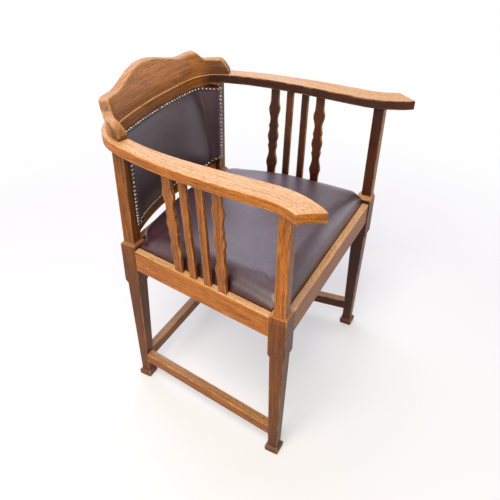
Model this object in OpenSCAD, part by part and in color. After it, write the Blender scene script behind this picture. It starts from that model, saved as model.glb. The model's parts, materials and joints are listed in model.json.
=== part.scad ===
// Oak tub armchair. A flat horseshoe bow stands on four legs and eight slats,
// with a padded leather back and a drop-in leather seat that lifts straight out.
// Millimetres. Z is up, the floor is Z = 0, the sitter faces -Y, so the
// sitter's left is +X. The plan is laid out from the front leg centres.

/* [Plan] */
// Distance between the centres of the two front legs
front_leg_spacing = 515; // [440:1:600]
// Distance between the centres of the two rear legs
rear_leg_spacing = 400; // [350:1:460]
// Distance from the front leg centres back to the rear leg centres
leg_depth = 413; // [370:1:470]

/* [Legs] */
// Width of the square block where the seat rails join
leg_block = 41; // [38:0.5:48]
// Height of the top of the block
block_top = 445; // [440:1:470]
// Height of the corners of the carved collar under the block
collar_height = 334; // [290:1:350]
// Rise of the collar's arch on each face
collar_arch = 12; // [6:0.5:16]
// Drop from one reed of the collar to the next
reed_drop = 3.4; // [2:0.2:5]
// Leg width just under the collar
leg_upper = 34; // [30:0.5:36]
// Leg width just above the foot
leg_lower = 23.5; // [21:0.5:30]
// Width of the square foot
foot_width = 35.5; // [32:0.5:42]
// Height of the foot
foot_height = 18.4; // [14:0.2:26]
// Width of the front posts above the block
front_post = 25.5; // [22:0.5:30]
// Width of the rear posts above the block
rear_post = 29; // [25:0.5:33]
// How far the front posts stand in from the front face of the block
post_set_back = 5; // [1:0.5:7]
// Height of the sloped shoulder between block and post
shoulder_height = 6; // [3:0.5:12]

/* [Seat rails] */
// Height of the top of the seat rails
rail_top = 435; // [425:1:439]
// Height of a seat rail
rail_height = 56; // [46:1:70]
// Thickness of a seat rail
rail_thickness = 26; // [24:0.5:30]
// Width of the top border that shows round the drop-in seat
rail_border = 17.5; // [14:0.5:18.5]
// Depth of the rebate that carries the drop-in seat
ledge_depth = 14; // [10:0.5:18]
// How far the rails stand in from the faces of the leg blocks
rail_set_in = 3; // [1:0.5:6]

/* [Stretchers] */
// Height of the top of the stretchers
stretcher_top = 84; // [60:1:160]
// Height of a stretcher's section
stretcher_height = 29; // [22:0.5:36]
// Width of a stretcher's section
stretcher_width = 22; // [18:0.5:23]

/* [Bow and arms] */
// Height of the top of the bow
bow_top = 718.4; // [680:0.2:760]
// Thickness of the bow
bow_thickness = 22.4; // [20:0.2:28]
// Width of the bow across the back
back_width = 33; // [31:0.5:40]
// Width of the bow where its corners end
corner_width = 38; // [36:0.5:44]
// Width of the arms at the front
arm_width = 54; // [44:0.5:64]
// Radius of the bow's slight curve across the back
back_radius = 1016; // [800:4:1600]
// Turn of that curve on each side of the middle, in degrees
back_turn = 6; // [4:0.5:8]
// Radius of the bow's corners
corner_radius = 103; // [90:1:120]
// Heading where the corners end, in degrees from straight across
corner_turn = 72; // [66:1:76]
// How far outside the rear leg centres the corners end
corner_outside = 23; // [18:0.5:28]
// How far in front of the rear leg centres the corners end
corner_ahead = 16; // [12:0.5:20]
// Distance behind the front leg centres where the arms start to flare
flare_start = 40; // [34:1:60]
// Radius of the flare
flare_radius = 165; // [140:1:220]
// Turn of the flare, in degrees
flare_turn = 39; // [20:1:44]
// Length along the bow from its middle to the joint with each arm
bow_joint = 190; // [186:1:194]

/* [Crest] */
// Height of the crest board at its middle
crest_middle = 79; // [60:1:100]
// Height of the dips beside the horns
crest_dip = 53.5; // [44:0.5:58]
// Height of the horns
crest_horn = 56; // [46:0.5:60]
// Height of the shoulders outside the horns
crest_shoulder = 35.5; // [28:0.5:40]
// Length along the bow from the middle to each dip
dip_at = 130; // [110:1:140]
// Length along the bow from the middle to each horn
horn_at = 171; // [160:1:174]
// Length along the bow from the middle to each end of the crest
crest_half = 264; // [240:1:280]
// Thickness of the crest at its foot
crest_thickness = 25.5; // [20:0.5:29]
// Thickness of the crest along its top
crest_top_thickness = 20; // [14:0.5:22]
// How far the top of the crest rolls back
crest_roll = 25; // [0:0.5:40]
// Length along the bow from the middle to the first dowel of the crest
crest_dowel_middle = 53; // [40:1:100]
// Length along the bow from an end of the crest to its last dowel
crest_dowel_end = 18.5; // [14:0.5:26]

/* [Slats] */
// Distance of the middle of the slats behind the front leg centres
slat_middle = 203; // [190:1:215]
// Spacing of the slats along the rail
slat_pitch = 40; // [36:0.5:44]
// Width of a plain slat
slat_width = 18; // [14:0.5:22]
// Thickness of the slats
slat_thickness = 9.5; // [8:0.5:11]
// Widest part of a shaped slat
shaped_width = 29; // [25:0.5:31]
// Neck of a shaped slat
shaped_neck = 19; // [16:0.5:20]
// How far the slat centres stand in from the outer face of the rail
slat_set_in = 9; // [8:0.5:9.5]

/* [Back] */
// Height of the bottom of the lower back rail
lower_rail_bottom = 447; // [440:1:460]
// Height of the lower back rail
lower_rail_height = 34; // [30:1:48]
// Thickness of the lower back rail
lower_rail_thickness = 20; // [16:0.5:22]
// Front radius of the lower back rail
lower_rail_radius = 600; // [560:5:700]
// How far the middle of the lower back rail stands in front of the bow's inner face
lower_rail_forward = 18; // [10:0.5:20]
// Height of the hidden rail under the bow
upper_rail_height = 20; // [18:0.5:30]
// Thickness of the padding at the middle of the back
back_padding_depth = 12; // [8:0.5:14]
// How far the lower edge of the leather rises beside the posts
corner_lift = 15; // [0:0.5:20]
// Spacing of the brass nails
nail_spacing = 10; // [9:0.5:14]
// Diameter of a nail head
nail_head = 8.8; // [6:0.2:9]

/* [Drop-in seat] */
// Gap between the drop-in seat and the wood round it
seat_gap = 0.8; // [0.4:0.1:1.5]
// Height of the frame members of the drop-in seat
seat_member_height = 17; // [14:0.5:20]
// Width of the frame members of the drop-in seat
seat_member_width = 52; // [46:1:64]
// Height of the padded edge above the rail at the seat's corners
seat_edge_rise = 29; // [20:0.5:34]
// How much higher the padded edge is in the middle of each side
seat_edge_arch = 14; // [0:0.5:18]
// Height of the crown above the corners of the padded edge
seat_crown = 24; // [16:0.5:30]
// Width cut off the rear corners of the seat, along its rear edge
seat_corner_width = 24; // [14:0.5:26]
// Depth cut off the rear corners of the seat
seat_corner_depth = 20; // [14:0.5:20]

// Spacing of the tacks of the dust cloth
tack_spacing = 48; // [36:1:60]

/* [Corner blocks] */
// Distance from a leg's centre to the near end of a block's face
corner_near = 44; // [38:1:50]
// Distance from a leg's centre to the far end of a block's face
corner_far = 88; // [70:1:110]

/* [Fits] */
// Side clearance of every tenon in its mortise
tenon_clearance = 0.15; // [0.1:0.05:0.4]
// Clearance round every dowel
dowel_clearance = 0.15; // [0.1:0.05:0.3]
// Gap between soft pieces and what they touch
soft_gap = 0.3; // [0.2:0.05:0.5]

/* [Hidden] */
$fn = 48;
eps = 0.01;
oak = [0.62, 0.38, 0.18];
hide = [0.25, 0.17, 0.17];

// Leg positions and the side line from the front leg to the rear leg
fx = front_leg_spacing / 2;
rx = rear_leg_spacing / 2;
half = leg_block / 2;
side_turn = atan((fx - rx) / leg_depth);
face_out = half - rail_set_in;
front_post_y = -(half - front_post / 2 - post_set_back);
front_post_x = half - front_post / 2 - 0.5;
bow_under = bow_top - bow_thickness;
rail_bottom = rail_top - rail_height;
ledge_z = rail_top - ledge_depth;

// Tenons
rail_tenon = 15;
rail_tenon_thickness = 9;
rail_tenon_height = rail_height - 20;
stretcher_tenon = 7;
post_tenon = 15;
post_tenon_height = 13;
slat_tenon = [6, 12, 9];

// Centre line of the bow: points are [x, y, heading, width] on the left half
corner_end_x = rx + corner_outside;
corner_end_y = leg_depth - corner_ahead;
corner_run_x = corner_radius * (sin(corner_turn) - sin(back_turn));
corner_run_y = corner_radius * (cos(back_turn) - cos(corner_turn));
back_run_x = back_radius * sin(back_turn);
back_run_y = back_radius * (1 - cos(back_turn));
straight = (corner_end_x - corner_run_x - back_run_x) / cos(back_turn);
bow_back_y = corner_end_y + corner_run_y + straight * sin(back_turn) + back_run_y;
corner_start_y = corner_end_y + corner_run_y;
corner_start_x = corner_end_x - corner_run_x;
corner_start_width = back_width + 0.4;
across = [for (i = [0:5])
  let (a = back_turn * i / 5)
  [back_radius * sin(a), bow_back_y - back_radius * (1 - cos(a)), a, back_width]];
corner = [for (i = [0:21])
  let (a = back_turn + (corner_turn - back_turn) * i / 21)
  [
    corner_start_x + corner_radius * (sin(a) - sin(back_turn)),
    corner_start_y - corner_radius * (cos(back_turn) - cos(a)),
    a,
    corner_start_width + (corner_width - corner_start_width) * i / 21
  ]];
arm_run = norm([fx - corner_end_x, corner_end_y - flare_start]);
arm_side = [for (i = [1:18])
  let (
    t = i / 18,
    a = 2 * pow(t, 3) - 3 * t * t + 1,
    b = (pow(t, 3) - 2 * t * t + t) * arm_run,
    c = 3 * t * t - 2 * pow(t, 3),
    d = (pow(t, 3) - t * t) * arm_run,
    da = (6 * t * t - 6 * t),
    db = (3 * t * t - 4 * t + 1) * arm_run,
    dd = (3 * t * t - 2 * t) * arm_run,
    vx = da * (corner_end_x - fx) + db * cos(corner_turn),
    vy = da * (corner_end_y - flare_start) - db * sin(corner_turn) - dd
  )
  [
    a * corner_end_x + b * cos(corner_turn) + c * fx,
    a * corner_end_y - b * sin(corner_turn) + c * flare_start - d,
    atan2(-vy, vx),
    corner_width + (arm_width - corner_width) * c
  ]];
flare = [for (i = [1:8])
  let (a = 90 - flare_turn * i / 8)
  [fx + flare_radius * (1 - sin(a)), flare_start - flare_radius * cos(a), a, arm_width]];
bow = concat(across, corner, arm_side, flare);
function flat(p) = [p[0], p[1]];
function run(i) = i == 0 ? 0 : run(i - 1) + norm(flat(bow[i]) - flat(bow[i - 1]));
runs = [for (i = [0:len(bow) - 1]) run(i)];
bow_half = runs[len(bow) - 1];
table_x = [for (i = [0:len(bow) - 1]) [runs[i], bow[i][0]]];
table_y = [for (i = [0:len(bow) - 1]) [runs[i], bow[i][1]]];
table_h = [for (i = [0:len(bow) - 1]) [runs[i], bow[i][2]]];
table_w = [for (i = [0:len(bow) - 1]) [runs[i], bow[i][3]]];
function side(s) = s < 0 ? -1 : 1;
function heading(s) = lookup(abs(s), table_h);
function width_at(s) = lookup(abs(s), table_w);
// Point at length s along the bow, and o outward from its centre line
function on_bow(s, o) = [
  side(s) * (lookup(abs(s), table_x) + o * sin(heading(s))),
  lookup(abs(s), table_y) + o * cos(heading(s))
];
// The same, with o outward from the inner edge
function from_inner(s, o) = on_bow(s, o - width_at(s) / 2);
function stations(s0, s1) = concat(
  [s0], [for (r = runs) if (r > s0 + 1 && r < s1 - 1) r], [s1]);
function backwards(v) = [for (i = [len(v) - 1:-1:0]) v[i]];
inner_table = [for (r = runs) if (r < bow_half / 2) [from_inner(r, 0)[0], from_inner(r, 0)[1]]];
// Where the bow's inner edge passes a distance x from the middle
function inner_y(x) = lookup(abs(x), inner_table);
function centre_at(y) = lookup(-y, [for (i = [24:len(bow) - 1]) [-bow[i][1], bow[i][0]]]);

// The part is centred on its own outline, which runs from the arm tips
// to the top of the crest
arm_tip_y = from_inner(bow_half, 0)[1];
crest_back = bow_back_y - back_width / 2 + crest_roll + crest_top_thickness;
bow_back = bow_back_y + back_width / 2;
shift_y = -(arm_tip_y + max(crest_back, bow_back)) / 2;

module place()
{
  translate([0, shift_y, 0])
    children();
}

module sides(s)
{
  scale_x = s;
  if (scale_x > 0) children();
  else mirror([1, 0, 0]) children();
}

module box(centre, size, z0, z1)
{
  translate([centre[0] - size[0] / 2, centre[1] - size[1] / 2, z0])
    cube([size[0], size[1], z1 - z0]);
}

// Side view of the foot and the tapering shaft up into the collar
module shaft_view()
{
  knee = foot_height * 0.72;
  top = collar_height + collar_arch + 4;
  right = [
    [foot_width / 2 - 1.5, 0], [foot_width / 2, knee], [foot_width / 2 - 3.5, foot_height],
    [leg_lower / 2, foot_height], [leg_upper / 2, collar_height + 2], [leg_upper / 2, top]
  ];
  polygon(concat(right, [for (i = [len(right) - 1 : -1 : 0]) [-right[i][0], right[i][1]]]));
}

// A form whose front and side views are the same
module square_form(w)
{
  intersection()
  {
    translate([0, w / 2, 0])
      rotate([90, 0, 0])
        linear_extrude(w)
          children();
    translate([-w / 2, 0, 0])
      rotate([90, 0, 90])
        linear_extrude(w)
          children();
  }
}

module leg_shaft()
{
  square_form(foot_width + 2)
    shaft_view();
}

// The plain taper of a leg, to shape what meets it
module leg_taper()
{
  square_form(leg_upper + 2)
    polygon([
      [-leg_lower / 2, foot_height], [leg_lower / 2, foot_height],
      [leg_upper / 2, collar_height + 2], [-leg_upper / 2, collar_height + 2]
    ]);
}

// Side view of one reed: square above, arched below, with n steps in the arch
module reed_view(w, drop, n)
{
  r = (w * w / 4 + collar_arch * collar_arch) / (2 * collar_arch);
  zc = collar_height + collar_arch - r - drop;
  a = asin(w / 2 / r);
  top = collar_height + collar_arch + 6;
  polygon(concat(
    [for (i = [0 : n]) [r * sin(a * (2 * i / n - 1)), zc + r * cos(a * (2 * i / n - 1))]],
    [[w / 2, top], [-w / 2, top]]
  ));
}

// One reed of the collar, arched on each face
module reed(w, drop)
{
  intersection()
  {
    translate([0, w / 2 + 1, 0])
      rotate([90, 0, 0])
        linear_extrude(w + 2)
          reed_view(w, drop, 12);
    translate([-w / 2 - 1, 0, 0])
      rotate([90, 0, 90])
        linear_extrude(w + 2)
          reed_view(w, drop, 13);
  }
}

// Sloped shoulder from the block to a post whose centre is offset
module shoulder(p, w)
{
  z0 = block_top;
  z1 = block_top + shoulder_height;
  intersection()
  {
    translate([0, half, 0])
      rotate([90, 0, 0])
        linear_extrude(leg_block)
          polygon([[-half, z0 - 1], [half, z0 - 1], [half, z0],
            [p[0] + w / 2, z1], [p[0] - w / 2, z1], [-half, z0]]);
    translate([-half, 0, 0])
      rotate([90, 0, 90])
        linear_extrude(leg_block)
          polygon([[-half, z0 - 1], [half, z0 - 1], [half, z0],
            [p[1] + w / 2, z1], [p[1] - w / 2, z1], [-half, z0]]);
  }
}

// Tenon boxes, grown by a clearance g to make the mortises
module front_rail_tenon(g)
{
  y = -face_out + rail_thickness / 2;
  translate([fx - half - 1, y - rail_tenon_thickness / 2 - g, rail_bottom + 10 - g])
    cube([rail_tenon + 1 + g, rail_tenon_thickness + 2 * g, rail_tenon_height + 2 * g]);
}

module rear_rail_tenon(g)
{
  y = leg_depth + face_out - rail_thickness / 2;
  translate([rx - half - 1, y - rail_tenon_thickness / 2 - g, rail_bottom + 10 - g])
    cube([rail_tenon + 1 + g, rail_tenon_thickness + 2 * g, rail_tenon_height + 2 * g]);
}

// The side rails' tenons run along the legs' own faces
side_tenon_out = (face_out - rail_thickness / 2) / cos(side_turn);
module side_rail_tenons(g)
{
  w = rail_tenon_thickness + 2 * g;
  h = rail_tenon_height + 2 * g;
  z = rail_bottom + 10 - g;
  xf = fx - half * tan(side_turn) + side_tenon_out;
  xr = rx + half * tan(side_turn) + side_tenon_out;
  translate([xf - w / 2, half - rail_tenon - g, z])
    cube([w, rail_tenon + 3 + g, h]);
  translate([xr - w / 2, leg_depth - half - 3, z])
    cube([w, rail_tenon + 3 + g, h]);
}

stretcher_z = stretcher_top - stretcher_height / 2;
stretcher_leg = leg_lower
  + (leg_upper - leg_lower) * (stretcher_z - foot_height) / (collar_height - foot_height);
module side_stretcher_tenons(g)
{
  w = 9 + 2 * g;
  h = stretcher_height - 10 + 2 * g;
  z = stretcher_z - h / 2;
  face = stretcher_leg / 2;
  xf = fx - face * tan(side_turn);
  xr = rx + face * tan(side_turn);
  translate([xf - w / 2, face - stretcher_tenon - g, z])
    cube([w, stretcher_tenon + 4 + g, h]);
  translate([xr - w / 2, leg_depth - face - 4, z])
    cube([w, stretcher_tenon + 4 + g, h]);
}

module rear_stretcher_tenon(g)
{
  w = 7 + 2 * g;
  h = stretcher_height - 10 + 2 * g;
  face = stretcher_leg / 2;
  translate([rx - face - 4, leg_depth - w / 2, stretcher_z - h / 2])
    cube([face + g + 1.5, w, h]);
}

// One left leg at the origin of its own centre, with its post and tenon
module leg_solid(p, w)
{
  union()
  {
    leg_shaft();
    reed(leg_block, 0);
    reed(leg_block - 2.4, reed_drop);
    reed(leg_block - 4.6, 2 * reed_drop);
    box([0, 0], [leg_block, leg_block], collar_height + collar_arch + 4, block_top);
    shoulder(p, w);
    box(p, [w, w], block_top, bow_under);
    box(p, [post_tenon, post_tenon], bow_under - 1, bow_under + post_tenon_height);
  }
}

module leg_front()
{
  difference()
  {
    translate([fx, 0, 0])
      leg_solid([front_post_x, front_post_y], front_post);
    front_rail_tenon(tenon_clearance);
    side_rail_tenons(tenon_clearance);
    side_stretcher_tenons(tenon_clearance);
  }
}

module leg_rear()
{
  difference()
  {
    translate([rx, leg_depth, 0])
      leg_solid([0, 0], rear_post);
    rear_rail_tenon(tenon_clearance);
    side_rail_tenons(tenon_clearance);
    side_stretcher_tenons(tenon_clearance);
    rear_stretcher_tenon(tenon_clearance);
    lower_rail_tenon(tenon_clearance);
  }
}

module leg_front_left()
{
  color(oak) place() leg_front();
}

module leg_front_right()
{
  color(oak) place() sides(-1) leg_front();
}

module leg_rear_left()
{
  color(oak) place() leg_rear();
}

module leg_rear_right()
{
  color(oak) place() sides(-1) leg_rear();
}

// Section of a seat rail: outer face at 0, top border, rebate, thickness
module rail_section()
{
  polygon([
    [0, rail_bottom], [rail_thickness, rail_bottom], [rail_thickness, ledge_z],
    [rail_border, ledge_z], [rail_border, rail_top], [0, rail_top]
  ]);
}

module screw_pilot_at(p, turn, tilt)
{
  translate([p[0], p[1], p[2]])
    rotate([0, 0, turn])
      rotate([tilt, 0, 0])
        children();
}

module seat_rail_front()
{
  color(oak) place()
    difference()
    {
      union()
      {
        translate([-fx, -face_out, 0])
          rotate([90, 0, 90])
            linear_extrude(2 * fx)
              rail_section();
      }
      box([fx, 0], [leg_block, leg_block], 0, 600);
      box([-fx, 0], [leg_block, leg_block], 0, 600);
      corner_screws_front(4.2);
    }
  color(oak) place()
    for (s = [-1, 1])
      sides(s) front_rail_tenon(0);
}

module seat_rail_rear()
{
  color(oak) place()
    difference()
    {
      translate([rx, leg_depth + face_out, 0])
        rotate([90, 0, -90])
          linear_extrude(2 * rx)
            rail_section();
      box([rx, leg_depth], [leg_block, leg_block], 0, 600);
      box([-rx, leg_depth], [leg_block, leg_block], 0, 600);
      corner_screws_rear(4.2);
    }
  color(oak) place()
    for (s = [-1, 1])
      sides(s) rear_rail_tenon(0);
}

// Frame of the left side line: y runs back along the rail, x points outward
module side_line()
{
  translate([fx, 0, 0])
    rotate(side_turn)
      children();
}
side_length = leg_depth / cos(side_turn);

module seat_rail_side()
{
  difference()
  {
    side_line()
      translate([face_out, 0, 0])
        rotate([90, 0, 180])
          linear_extrude(side_length)
            rail_section();
    box([fx, 0], [leg_block, leg_block], 0, 600);
    box([rx, leg_depth], [leg_block, leg_block], 0, 600);
    slat_tenons(tenon_clearance);
    corner_screws_side(4.2);
  }
  side_rail_tenons(0);
}

module seat_rail_left()
{
  color(oak) place() seat_rail_side();
}

module seat_rail_right()
{
  color(oak) place() sides(-1) seat_rail_side();
}

module stretcher_side()
{
  difference()
  {
    side_line()
      translate([-stretcher_width / 2, 0, stretcher_top - stretcher_height])
        cube([stretcher_width, side_length, stretcher_height]);
    translate([fx, 0, 0])
      leg_taper();
    translate([rx, leg_depth, 0])
      leg_taper();
    box([fx, -leg_block], [leg_block * 2, leg_block * 2], 0, 200);
    box([rx, leg_depth + leg_block], [leg_block * 2, leg_block * 2], 0, 200);
  }
  side_stretcher_tenons(0);
}

module stretcher_left()
{
  color(oak) place() stretcher_side();
}

module stretcher_right()
{
  color(oak) place() sides(-1) stretcher_side();
}

module stretcher_rear()
{
  color(oak) place()
  {
    difference()
    {
      translate([-rx, leg_depth - stretcher_width / 2, stretcher_top - stretcher_height])
        cube([2 * rx, stretcher_width, stretcher_height]);
      for (s = [-1, 1])
        translate([s * rx, leg_depth, 0])
          leg_taper();
      for (s = [-1, 1])
        box([s * (rx + 20), leg_depth], [40, 60], 0, 200);
    }
    for (s = [-1, 1])
      sides(s) rear_stretcher_tenon(0);
  }
}

// Slats: place i is 0 at the rear and 3 at the front
function slat_y(i) = slat_middle + slat_pitch * (1.5 - i);
function slat_foot(i) = [
  fx - slat_y(i) * tan(side_turn) + (face_out - slat_set_in) / cos(side_turn),
  slat_y(i)
];
function slat_head(i) = [centre_at(slat_y(i) + 4), slat_y(i) + 4];
slat_height = bow_under - rail_top;

module slat_foot_tenon(i, g)
{
  translate([slat_foot(i)[0], slat_foot(i)[1], rail_top - slat_tenon[2] - g])
    rotate(side_turn)
      translate([-slat_tenon[0] / 2 - g, -slat_tenon[1] / 2 - g, 0])
        cube([slat_tenon[0] + 2 * g, slat_tenon[1] + 2 * g, slat_tenon[2] + 2 + g]);
}

module slat_head_tenon(i, g)
{
  translate([slat_head(i)[0], slat_head(i)[1], bow_under - 2])
    rotate(side_turn)
      translate([-slat_tenon[0] / 2 - g, -slat_tenon[1] / 2 - g, 0])
        cube([slat_tenon[0] + 2 * g, slat_tenon[1] + 2 * g, slat_tenon[2] + 2 + g]);
}

module slat_tenons(g)
{
  for (i = [0:3])
    slat_foot_tenon(i, g);
}

// Width of a shaped slat at t, which is 0 at its middle and 1 at its ends
slat_end_width = shaped_neck + 2.5;
shape_keys = [
  [0, shaped_width - 1], [0.15, shaped_neck + 2.5], [0.21, shaped_neck + 6],
  [0.27, shaped_neck + 2], [0.34, shaped_neck], [0.57, shaped_width],
  [0.69, slat_end_width + 1.5], [0.73, slat_end_width], [1.05, slat_end_width]
];
function eased(t, k, i) = let (
    u = (t - k[i][0]) / (k[i + 1][0] - k[i][0]),
    e = (1 - cos(180 * u)) / 2
  )
  k[i][1] + (k[i + 1][1] - k[i][1]) * e;
function key_width(t, k, i = 0) =
  i >= len(k) - 2 || t <= k[i + 1][0] ? eased(t, k, i) : key_width(t, k, i + 1);
shape_steps = 46;
shaped_outline = concat(
  [for (i = [-shape_steps:shape_steps])
    let (t = 1.04 * i / shape_steps)
    [key_width(abs(t), shape_keys) / 2, t]],
  [for (i = [shape_steps:-1:-shape_steps])
    let (t = 1.04 * i / shape_steps)
    [-key_width(abs(t), shape_keys) / 2, t]]
);
plain_outline = [
  [slat_width / 2, -1.04], [slat_width / 2, 1.04],
  [-slat_width / 2, 1.04], [-slat_width / 2, -1.04]
];

module slat(i, outline)
{
  a = slat_foot(i);
  b = slat_head(i);
  out = (b[0] - a[0]) * cos(side_turn) + (b[1] - a[1]) * sin(side_turn);
  back = (b[1] - a[1]) * cos(side_turn) - (b[0] - a[0]) * sin(side_turn);
  long = norm([out, back, slat_height]);
  h = long / 2;
  intersection()
  {
    translate([(a[0] + b[0]) / 2, (a[1] + b[1]) / 2, (rail_top + bow_under) / 2])
      rotate(side_turn)
        rotate([-asin(back / long), atan2(out, slat_height), 0])
          rotate([90, 0, 90])
            translate([0, 0, -slat_thickness / 2])
              linear_extrude(slat_thickness)
                polygon([for (p = outline) [p[0], p[1] * h]]);
    box(a, [400, 400], rail_top, bow_under);
  }
  intersection()
  {
    slat_foot_tenon(i, 0);
    box(a, [60, 60], 0, rail_top + 0.5);
  }
  intersection()
  {
    slat_head_tenon(i, 0);
    box(b, [60, 60], bow_under - 0.5, bow_top);
  }
}

module slat_rear_left()
{
  color(oak) place() slat(0, shaped_outline);
}

module slat_plain_rear_left()
{
  color(oak) place() slat(1, plain_outline);
}

module slat_plain_front_left()
{
  color(oak) place() slat(2, plain_outline);
}

module slat_front_left()
{
  color(oak) place() slat(3, shaped_outline);
}

module slat_rear_right()
{
  color(oak) place() sides(-1) slat(0, shaped_outline);
}

module slat_plain_rear_right()
{
  color(oak) place() sides(-1) slat(1, plain_outline);
}

module slat_plain_front_right()
{
  color(oak) place() sides(-1) slat(2, plain_outline);
}

module slat_front_right()
{
  color(oak) place() sides(-1) slat(3, shaped_outline);
}

// Dowels of the joint between the back of the bow and the left arm
dowel_r = 4;
dowel_half = 20;
module joint_dowels(g)
{
  p = on_bow(bow_joint, 0);
  translate([p[0], p[1], bow_under + bow_thickness / 2])
    rotate(-heading(bow_joint))
      for (o = [-7, 7])
        translate([-dowel_half - g, o, 0])
          rotate([0, 90, 0])
            cylinder(h = 2 * (dowel_half + g), r = dowel_r + g);
}

// Upright dowels of the crest: near its middle, clear of the joint dowels, near its ends
dowel_wall = 13;
crest_dowel_left = [
  crest_dowel_middle, bow_joint - dowel_half - dowel_wall - dowel_r, crest_half - crest_dowel_end
];
crest_dowel_at = concat([for (d = crest_dowel_left) -d], crest_dowel_left);
module upright_dowels(g, top, side_only)
{
  for (k = crest_dowel_at)
    if (!side_only || k > bow_joint)
      translate([
        from_inner(k, crest_thickness / 2)[0],
        from_inner(k, crest_thickness / 2)[1],
        bow_top - 14 - g
      ])
        cylinder(h = 14 + top + g, r = dowel_r + g);
}

module arm()
{
  s = stations(bow_joint, bow_half);
  difference()
  {
    translate([0, 0, bow_under])
      linear_extrude(bow_thickness)
        polygon(concat(
          [for (v = s) from_inner(v, 0)],
          [for (v = backwards(s)) if (v < bow_half - 20) from_inner(v, width_at(v))]
        ));
    joint_dowels(dowel_clearance);
    upright_dowels(dowel_clearance, 1, true);
    for (i = [0:3])
      slat_head_tenon(i, tenon_clearance);
    post_tenon_cut([fx + front_post_x, front_post_y]);
    post_tenon_cut([rx, leg_depth]);
  }
}

module post_tenon_cut(p)
{
  w = post_tenon + 2 * tenon_clearance;
  box(p, [w, w], bow_under - 1, bow_under + post_tenon_height + tenon_clearance);
}

module arm_left()
{
  color(oak) place() arm();
}

module arm_right()
{
  color(oak) place() sides(-1) arm();
}

module bow_back()
{
  s = stations(0, bow_joint);
  all = concat([for (i = [len(s) - 1:-1:1]) -s[i]], s);
  color(oak) place()
    difference()
    {
      translate([0, 0, bow_under])
        linear_extrude(bow_thickness)
          polygon(concat(
            [for (v = all) from_inner(v, 0)],
            [for (v = backwards(all)) from_inner(v, width_at(v))]
          ));
      for (k = [-1, 1])
        sides(k) joint_dowels(dowel_clearance);
      upright_dowels(dowel_clearance, 1, false);
    }
}

module bow_dowels()
{
  color(oak) place()
    for (k = [-1, 1])
      sides(k) joint_dowels(0);
}

// Height of the crest above the bow at length s from the middle
function rise(t) = (1 - cos(180 * t)) / 2;
function crest_h(s) =
  s < dip_at ?
    crest_dip + (crest_middle - crest_dip) * pow((1 + cos(180 * s / dip_at)) / 2, 0.8)
  : s < horn_at ?
    crest_dip + (crest_horn - crest_dip) * rise((s - dip_at) / (horn_at - dip_at))
  : s < horn_at + 30 ?
    crest_horn + (crest_shoulder - crest_horn) * rise((s - horn_at) / 30)
  : s < crest_half - 26 ?
    crest_shoulder
  : crest_shoulder - (crest_shoulder - 10) * pow((s - crest_half + 26) / 26, 1.8);
function crest_back_at(h) = crest_roll * pow(max(0, h - 15) / (crest_middle - 15), 1.3);
function crest_thick_at(h) =
  crest_thickness + (crest_top_thickness - crest_thickness) * h / crest_middle;
crest_n = 72;
crest_levels = [0, 0.25, 0.5, 0.75, 0.93, 1];
crest_ring = len(crest_levels) * 2;
function crest_point(s, h, o) = let (p = from_inner(s, crest_back_at(h) + o))
  [p[0], p[1], bow_top + h];
function crest_section(s) = let (top = crest_h(abs(s))) concat(
  [for (f = crest_levels) crest_point(s, f * top, f == 1 ? 2 : 0)],
  [for (f = backwards(crest_levels))
    crest_point(s, f * top, crest_thick_at(f * top) - (f == 1 ? 2 : 0))]
);

module crest_board()
{
  points = [for (i = [0:crest_n]) each crest_section(crest_half * (2 * i / crest_n - 1))];
  m = crest_ring;
  skin = [for (i = [0:crest_n - 1], j = [0:m - 1])
    let (a = i * m + j, b = i * m + (j + 1) % m)
    each [[a, b, b + m], [a, b + m, a + m]]];
  last = crest_n * m;
  start = [for (j = [0:m / 2 - 2]) each [[j, m - 1 - j, m - 2 - j], [j, m - 2 - j, j + 1]]];
  end = [for (j = [0:m / 2 - 2]) each [
    [last + j, last + m - 2 - j, last + m - 1 - j],
    [last + j, last + j + 1, last + m - 2 - j]
  ]];
  polyhedron(points = points, faces = concat(skin, start, end), convexity = 6);
}

module crest_rail()
{
  color(oak) place()
    difference()
    {
      crest_board();
      upright_dowels(dowel_clearance, 14, false);
    }
}

module crest_dowels()
{
  color(oak) place() upright_dowels(0, 14 - dowel_clearance, false);
}

// Back: the lower rail is an arc, the upper rail follows the bow
post_in = rx - rear_post / 2;
post_front = leg_depth - rear_post / 2;
bow_inner_y = bow_back_y - back_width / 2;
arc_y = bow_inner_y - lower_rail_forward - lower_rail_radius;
function arc_at(x, r) = arc_y + sqrt(r * r - x * x);
lower_rail_top = lower_rail_bottom + lower_rail_height;
upper_rail_bottom = bow_under - upper_rail_height;
lower_tenon_y = arc_at(post_in, lower_rail_radius) + 6;

module lower_rail_tenon(g)
{
  translate([post_in - 2, lower_tenon_y - 4 - g, lower_rail_bottom + 11 - g])
    cube([12 + g, 8 + 2 * g, lower_rail_height - 17 + 2 * g]);
}

module lower_back_rail()
{
  color(oak) place()
  {
    difference()
    {
      intersection()
      {
        translate([0, arc_y, lower_rail_bottom])
          difference()
          {
            cylinder(h = lower_rail_height, r = lower_rail_radius + lower_rail_thickness, $fn = 360);
            translate([0, 0, -1])
              cylinder(h = lower_rail_height + 2, r = lower_rail_radius, $fn = 360);
          }
        box([0, leg_depth + 30], [2 * post_in, 140], 0, 600);
      }
      for (k = [-1, 1])
        translate([k * rx, leg_depth, 0])
        {
          box([0, 0], [leg_block, leg_block], 400, block_top);
          shoulder([0, 0], rear_post);
        }
    }
    for (k = [-1, 1])
      sides(k) lower_rail_tenon(0);
  }
}

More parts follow.
